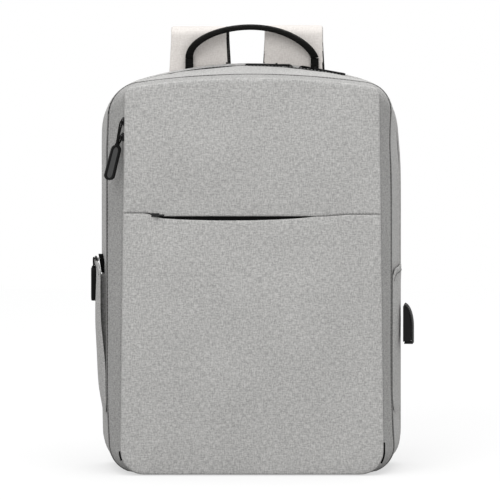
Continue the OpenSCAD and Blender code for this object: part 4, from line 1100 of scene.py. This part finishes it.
def build_strap_pad(side, name, x0, width, fold, y_in):
    """The padded part that hangs behind the bag. It moves outwards and narrows towards its rounded end."""
    end_z = box(f"{name}_pad")[0][2]
    total = fold[2] - end_z
    s = np.linspace(8 / total, 1, 40)
    centre_x = x0 + side * FLARE * s * s
    half = (width - 3.0 - NARROWING * s * s) / 2
    z = fold[2] - total * s
    end_x, end_half = centre_x[-1], half[-1]
    left, right = stack(centre_x - half, z), stack(centre_x + half, z)
    left, right = left[z > end_z + PAD_END_R], right[z > end_z + PAD_END_R]
    t = np.radians([0, 30, 60, 90])
    bottom = stack(end_x - end_half + PAD_END_R * (1 - np.cos(t)), end_z + PAD_END_R * (1 - np.sin(t)))
    mirrored = bottom * [-1, 1] + [2 * end_x, 0]
    outline = np.vstack([left, bottom, mirrored[::-1], right[::-1]])
    corners = [len(left) + 2, len(left) + 5, len(outline) - 1, 0]

    def place(x, zz, offset):
        share = np.clip((fold[2] - zz) / total, 0, 1)
        return stack(x, y_in - 7 * share + 4.6 + 0.4 * share + offset, zz)

    pad = soft_panel(f"{name}_cushion", outline, corners, place, 8.4, STRAP, None, edge=3.6, nu=20, nv=60)
    inflate(pad, voxel=4.5, pressure=3.5, cap=2.0, fixed=lambda p: p[:, 2] > fold[2] - 26)
    dress(pad, name, (f"{name}_pad",), "strap_cloth")
    rim = np.vstack([right, mirrored, bottom[::-1], left[::-1]])
    piping = place(rim[:, 0], rim[:, 1], 0.0)
    tube(f"{name}_piping", piping[piping[:, 2] < fold[2] - 30], 1.5, BINDING, name)
    inset = place(rim[:, 0] + np.sign(end_x - rim[:, 0]) * 6.0, np.maximum(rim[:, 1], end_z + 7), 5.2)
    stitches(f"{name}_stitches", inset, (0, 1, 0), THREAD, name)

    def place_mesh(x, up, offset):
        down = 1 - up
        x = x0 + side * FLARE * down ** 2 + x * (width - 14 - NARROWING * down ** 2)
        return place(x, fold[2] - 14 - (total - 20) * down, -4.6 - offset)

    outline, corners = rounded((-0.5, 0.06), (0.5, 0.94), 0.12)
    soft_panel(f"{name}_mesh", outline, corners, place_mesh, 0.9, AIR_MESH, name, edge=0.02, nu=10, nv=40)


def build_webbing(name):
    web = name.replace("strap", "webbing")
    lock, size = spot(f"{name}_lock")
    lock_z = lock[2] - size[2] / 2
    anchor, size = spot(f"{name}_anchor")
    start = np.array([lock[0], lock[1], lock_z + 1.0])
    end = np.array([anchor[0], anchor[1] + size[1] / 2 + 1.0, box(web)[0][2]])
    s = np.linspace(0, 1, 34)[:, None]
    path = start * (1 - s) + end * s + np.array([0, WEB_SAG, 0]) * 4 * s * (1 - s)
    belt = sweep(f"{web}_belt", path, (1, 0, 0), WEB_W, WEB_T, WEBBING, None)
    dress(belt, name, (web,), "black_webbing")
    # The loop round the lock's bars, and its loose tail
    bar, t, k = lock_z + 2.0, np.radians(np.linspace(-70, 200, 16)), np.arange(1, 12)
    loop = stack(start[0], start[1] + 3.1 * np.cos(t), bar + 3.1 * np.sin(t))
    tail = stack(start[0], loop[0, 1] + 0.8 + 0.35 * (k - 1), bar - 3 - k * 4.0)
    sweep(f"{web}_loop", loop, (1, 0, 0), WEB_W, 1.3, WEBBING, name)
    sweep(f"{web}_tail", tail, (1, 0, 0), WEB_W, 1.3, WEBBING, name)


# ---- Stage ----
CAMERA_AIM = Vector((-0.002, -0.060, 0.2272))
CAMERA_ELEVATION = math.radians(6)
CAMERA_DISTANCE = 20.0
FIELD = 0.5
WORLD_LIGHT = 0.62
FLOOR_HALF, FLOOR_GREY, FLOOR_GLOW = 1700.0, 0.34, 0.60
LAMPS = {"key": ((-1.3, -3.2, 2.6), 2.2, 56.0), "fill": ((1.8, -3.0, 1.2), 2.0, 22.0),
         "top": ((0.0, -0.5, 3.4), 2.4, 52.0), "rear": ((0.6, 3.2, 2.6), 2.2, 30.0)}


def camera_rays(tree):
    """1 for rays that come from the camera or see the scene in a mirror or through glass."""
    path = node(tree, "ShaderNodeLightPath").outputs
    seen = math_node(tree, "ADD", path["Is Camera Ray"], path["Is Glossy Ray"])
    seen = math_node(tree, "ADD", seen, path["Is Transmission Ray"])
    seen.node.use_clamp = True
    return seen


def area_light(name, location, size, power, target=(0, 0, 0.2)):
    lamp = bpy.data.lights.new(name, "AREA")
    lamp.size, lamp.energy = size, power
    obj = bpy.data.objects.new(name, lamp)
    obj.location = location
    obj.rotation_euler = (Vector(target) - Vector(location)).to_track_quat("-Z", "Y").to_euler()
    bpy.context.scene.collection.objects.link(obj)
    return obj


def build_stage():
    scene = bpy.context.scene
    scene.view_settings.view_transform = "Standard"
    camera = bpy.data.cameras.new("camera")
    camera.sensor_width = 36.0
    camera.lens = 36.0 * CAMERA_DISTANCE / FIELD
    camera.clip_end = 100.0
    obj = bpy.data.objects.new("camera", camera)
    away = Vector((0, -math.cos(CAMERA_ELEVATION), math.sin(CAMERA_ELEVATION)))
    obj.location = CAMERA_AIM + CAMERA_DISTANCE * away
    obj.rotation_euler = (math.pi / 2 - CAMERA_ELEVATION, 0, 0)
    scene.collection.objects.link(obj)
    scene.camera = obj
    world = bpy.data.worlds.new("studio")
    world.use_nodes = True
    scene.world = world
    tree = world.node_tree
    tree.nodes["Background"].inputs["Color"].default_value = (1, 1, 1, 1)
    strength = ranged(tree, camera_rays(tree), 0.0, 1.0, WORLD_LIGHT, 1.0)
    tree.links.new(strength, tree.nodes["Background"].inputs["Strength"])
    material, tree, shader = new_material("floor")
    shader.inputs["Base Color"].default_value = (FLOOR_GREY, FLOOR_GREY, FLOOR_GREY, 1)
    shader.inputs["Roughness"].default_value = 0.9
    shader.inputs["Specular IOR Level"].default_value = 0.0
    shader.inputs["Emission Color"].default_value = (1, 1, 1, 1)
    glow = math_node(tree, "MULTIPLY", camera_rays(tree), FLOOR_GLOW)
    tree.links.new(glow, shader.inputs["Emission Strength"])
    corners = [[x * FLOOR_HALF, y * FLOOR_HALF, 0] for x, y in ((-1, -1), (1, -1), (1, 1), (-1, 1))]
    floor = make("floor", corners, [(0, 1, 2, 3)], material)
    for name, (location, size, power) in LAMPS.items():
        area_light(name, location, size, power)


build_shell()
build_cover()
build_sides()
build_inside()
build_back()
build_handle()
build_strap(-1, "left_strap")
build_strap(1, "right_strap")
build_pulls()
build_stage()
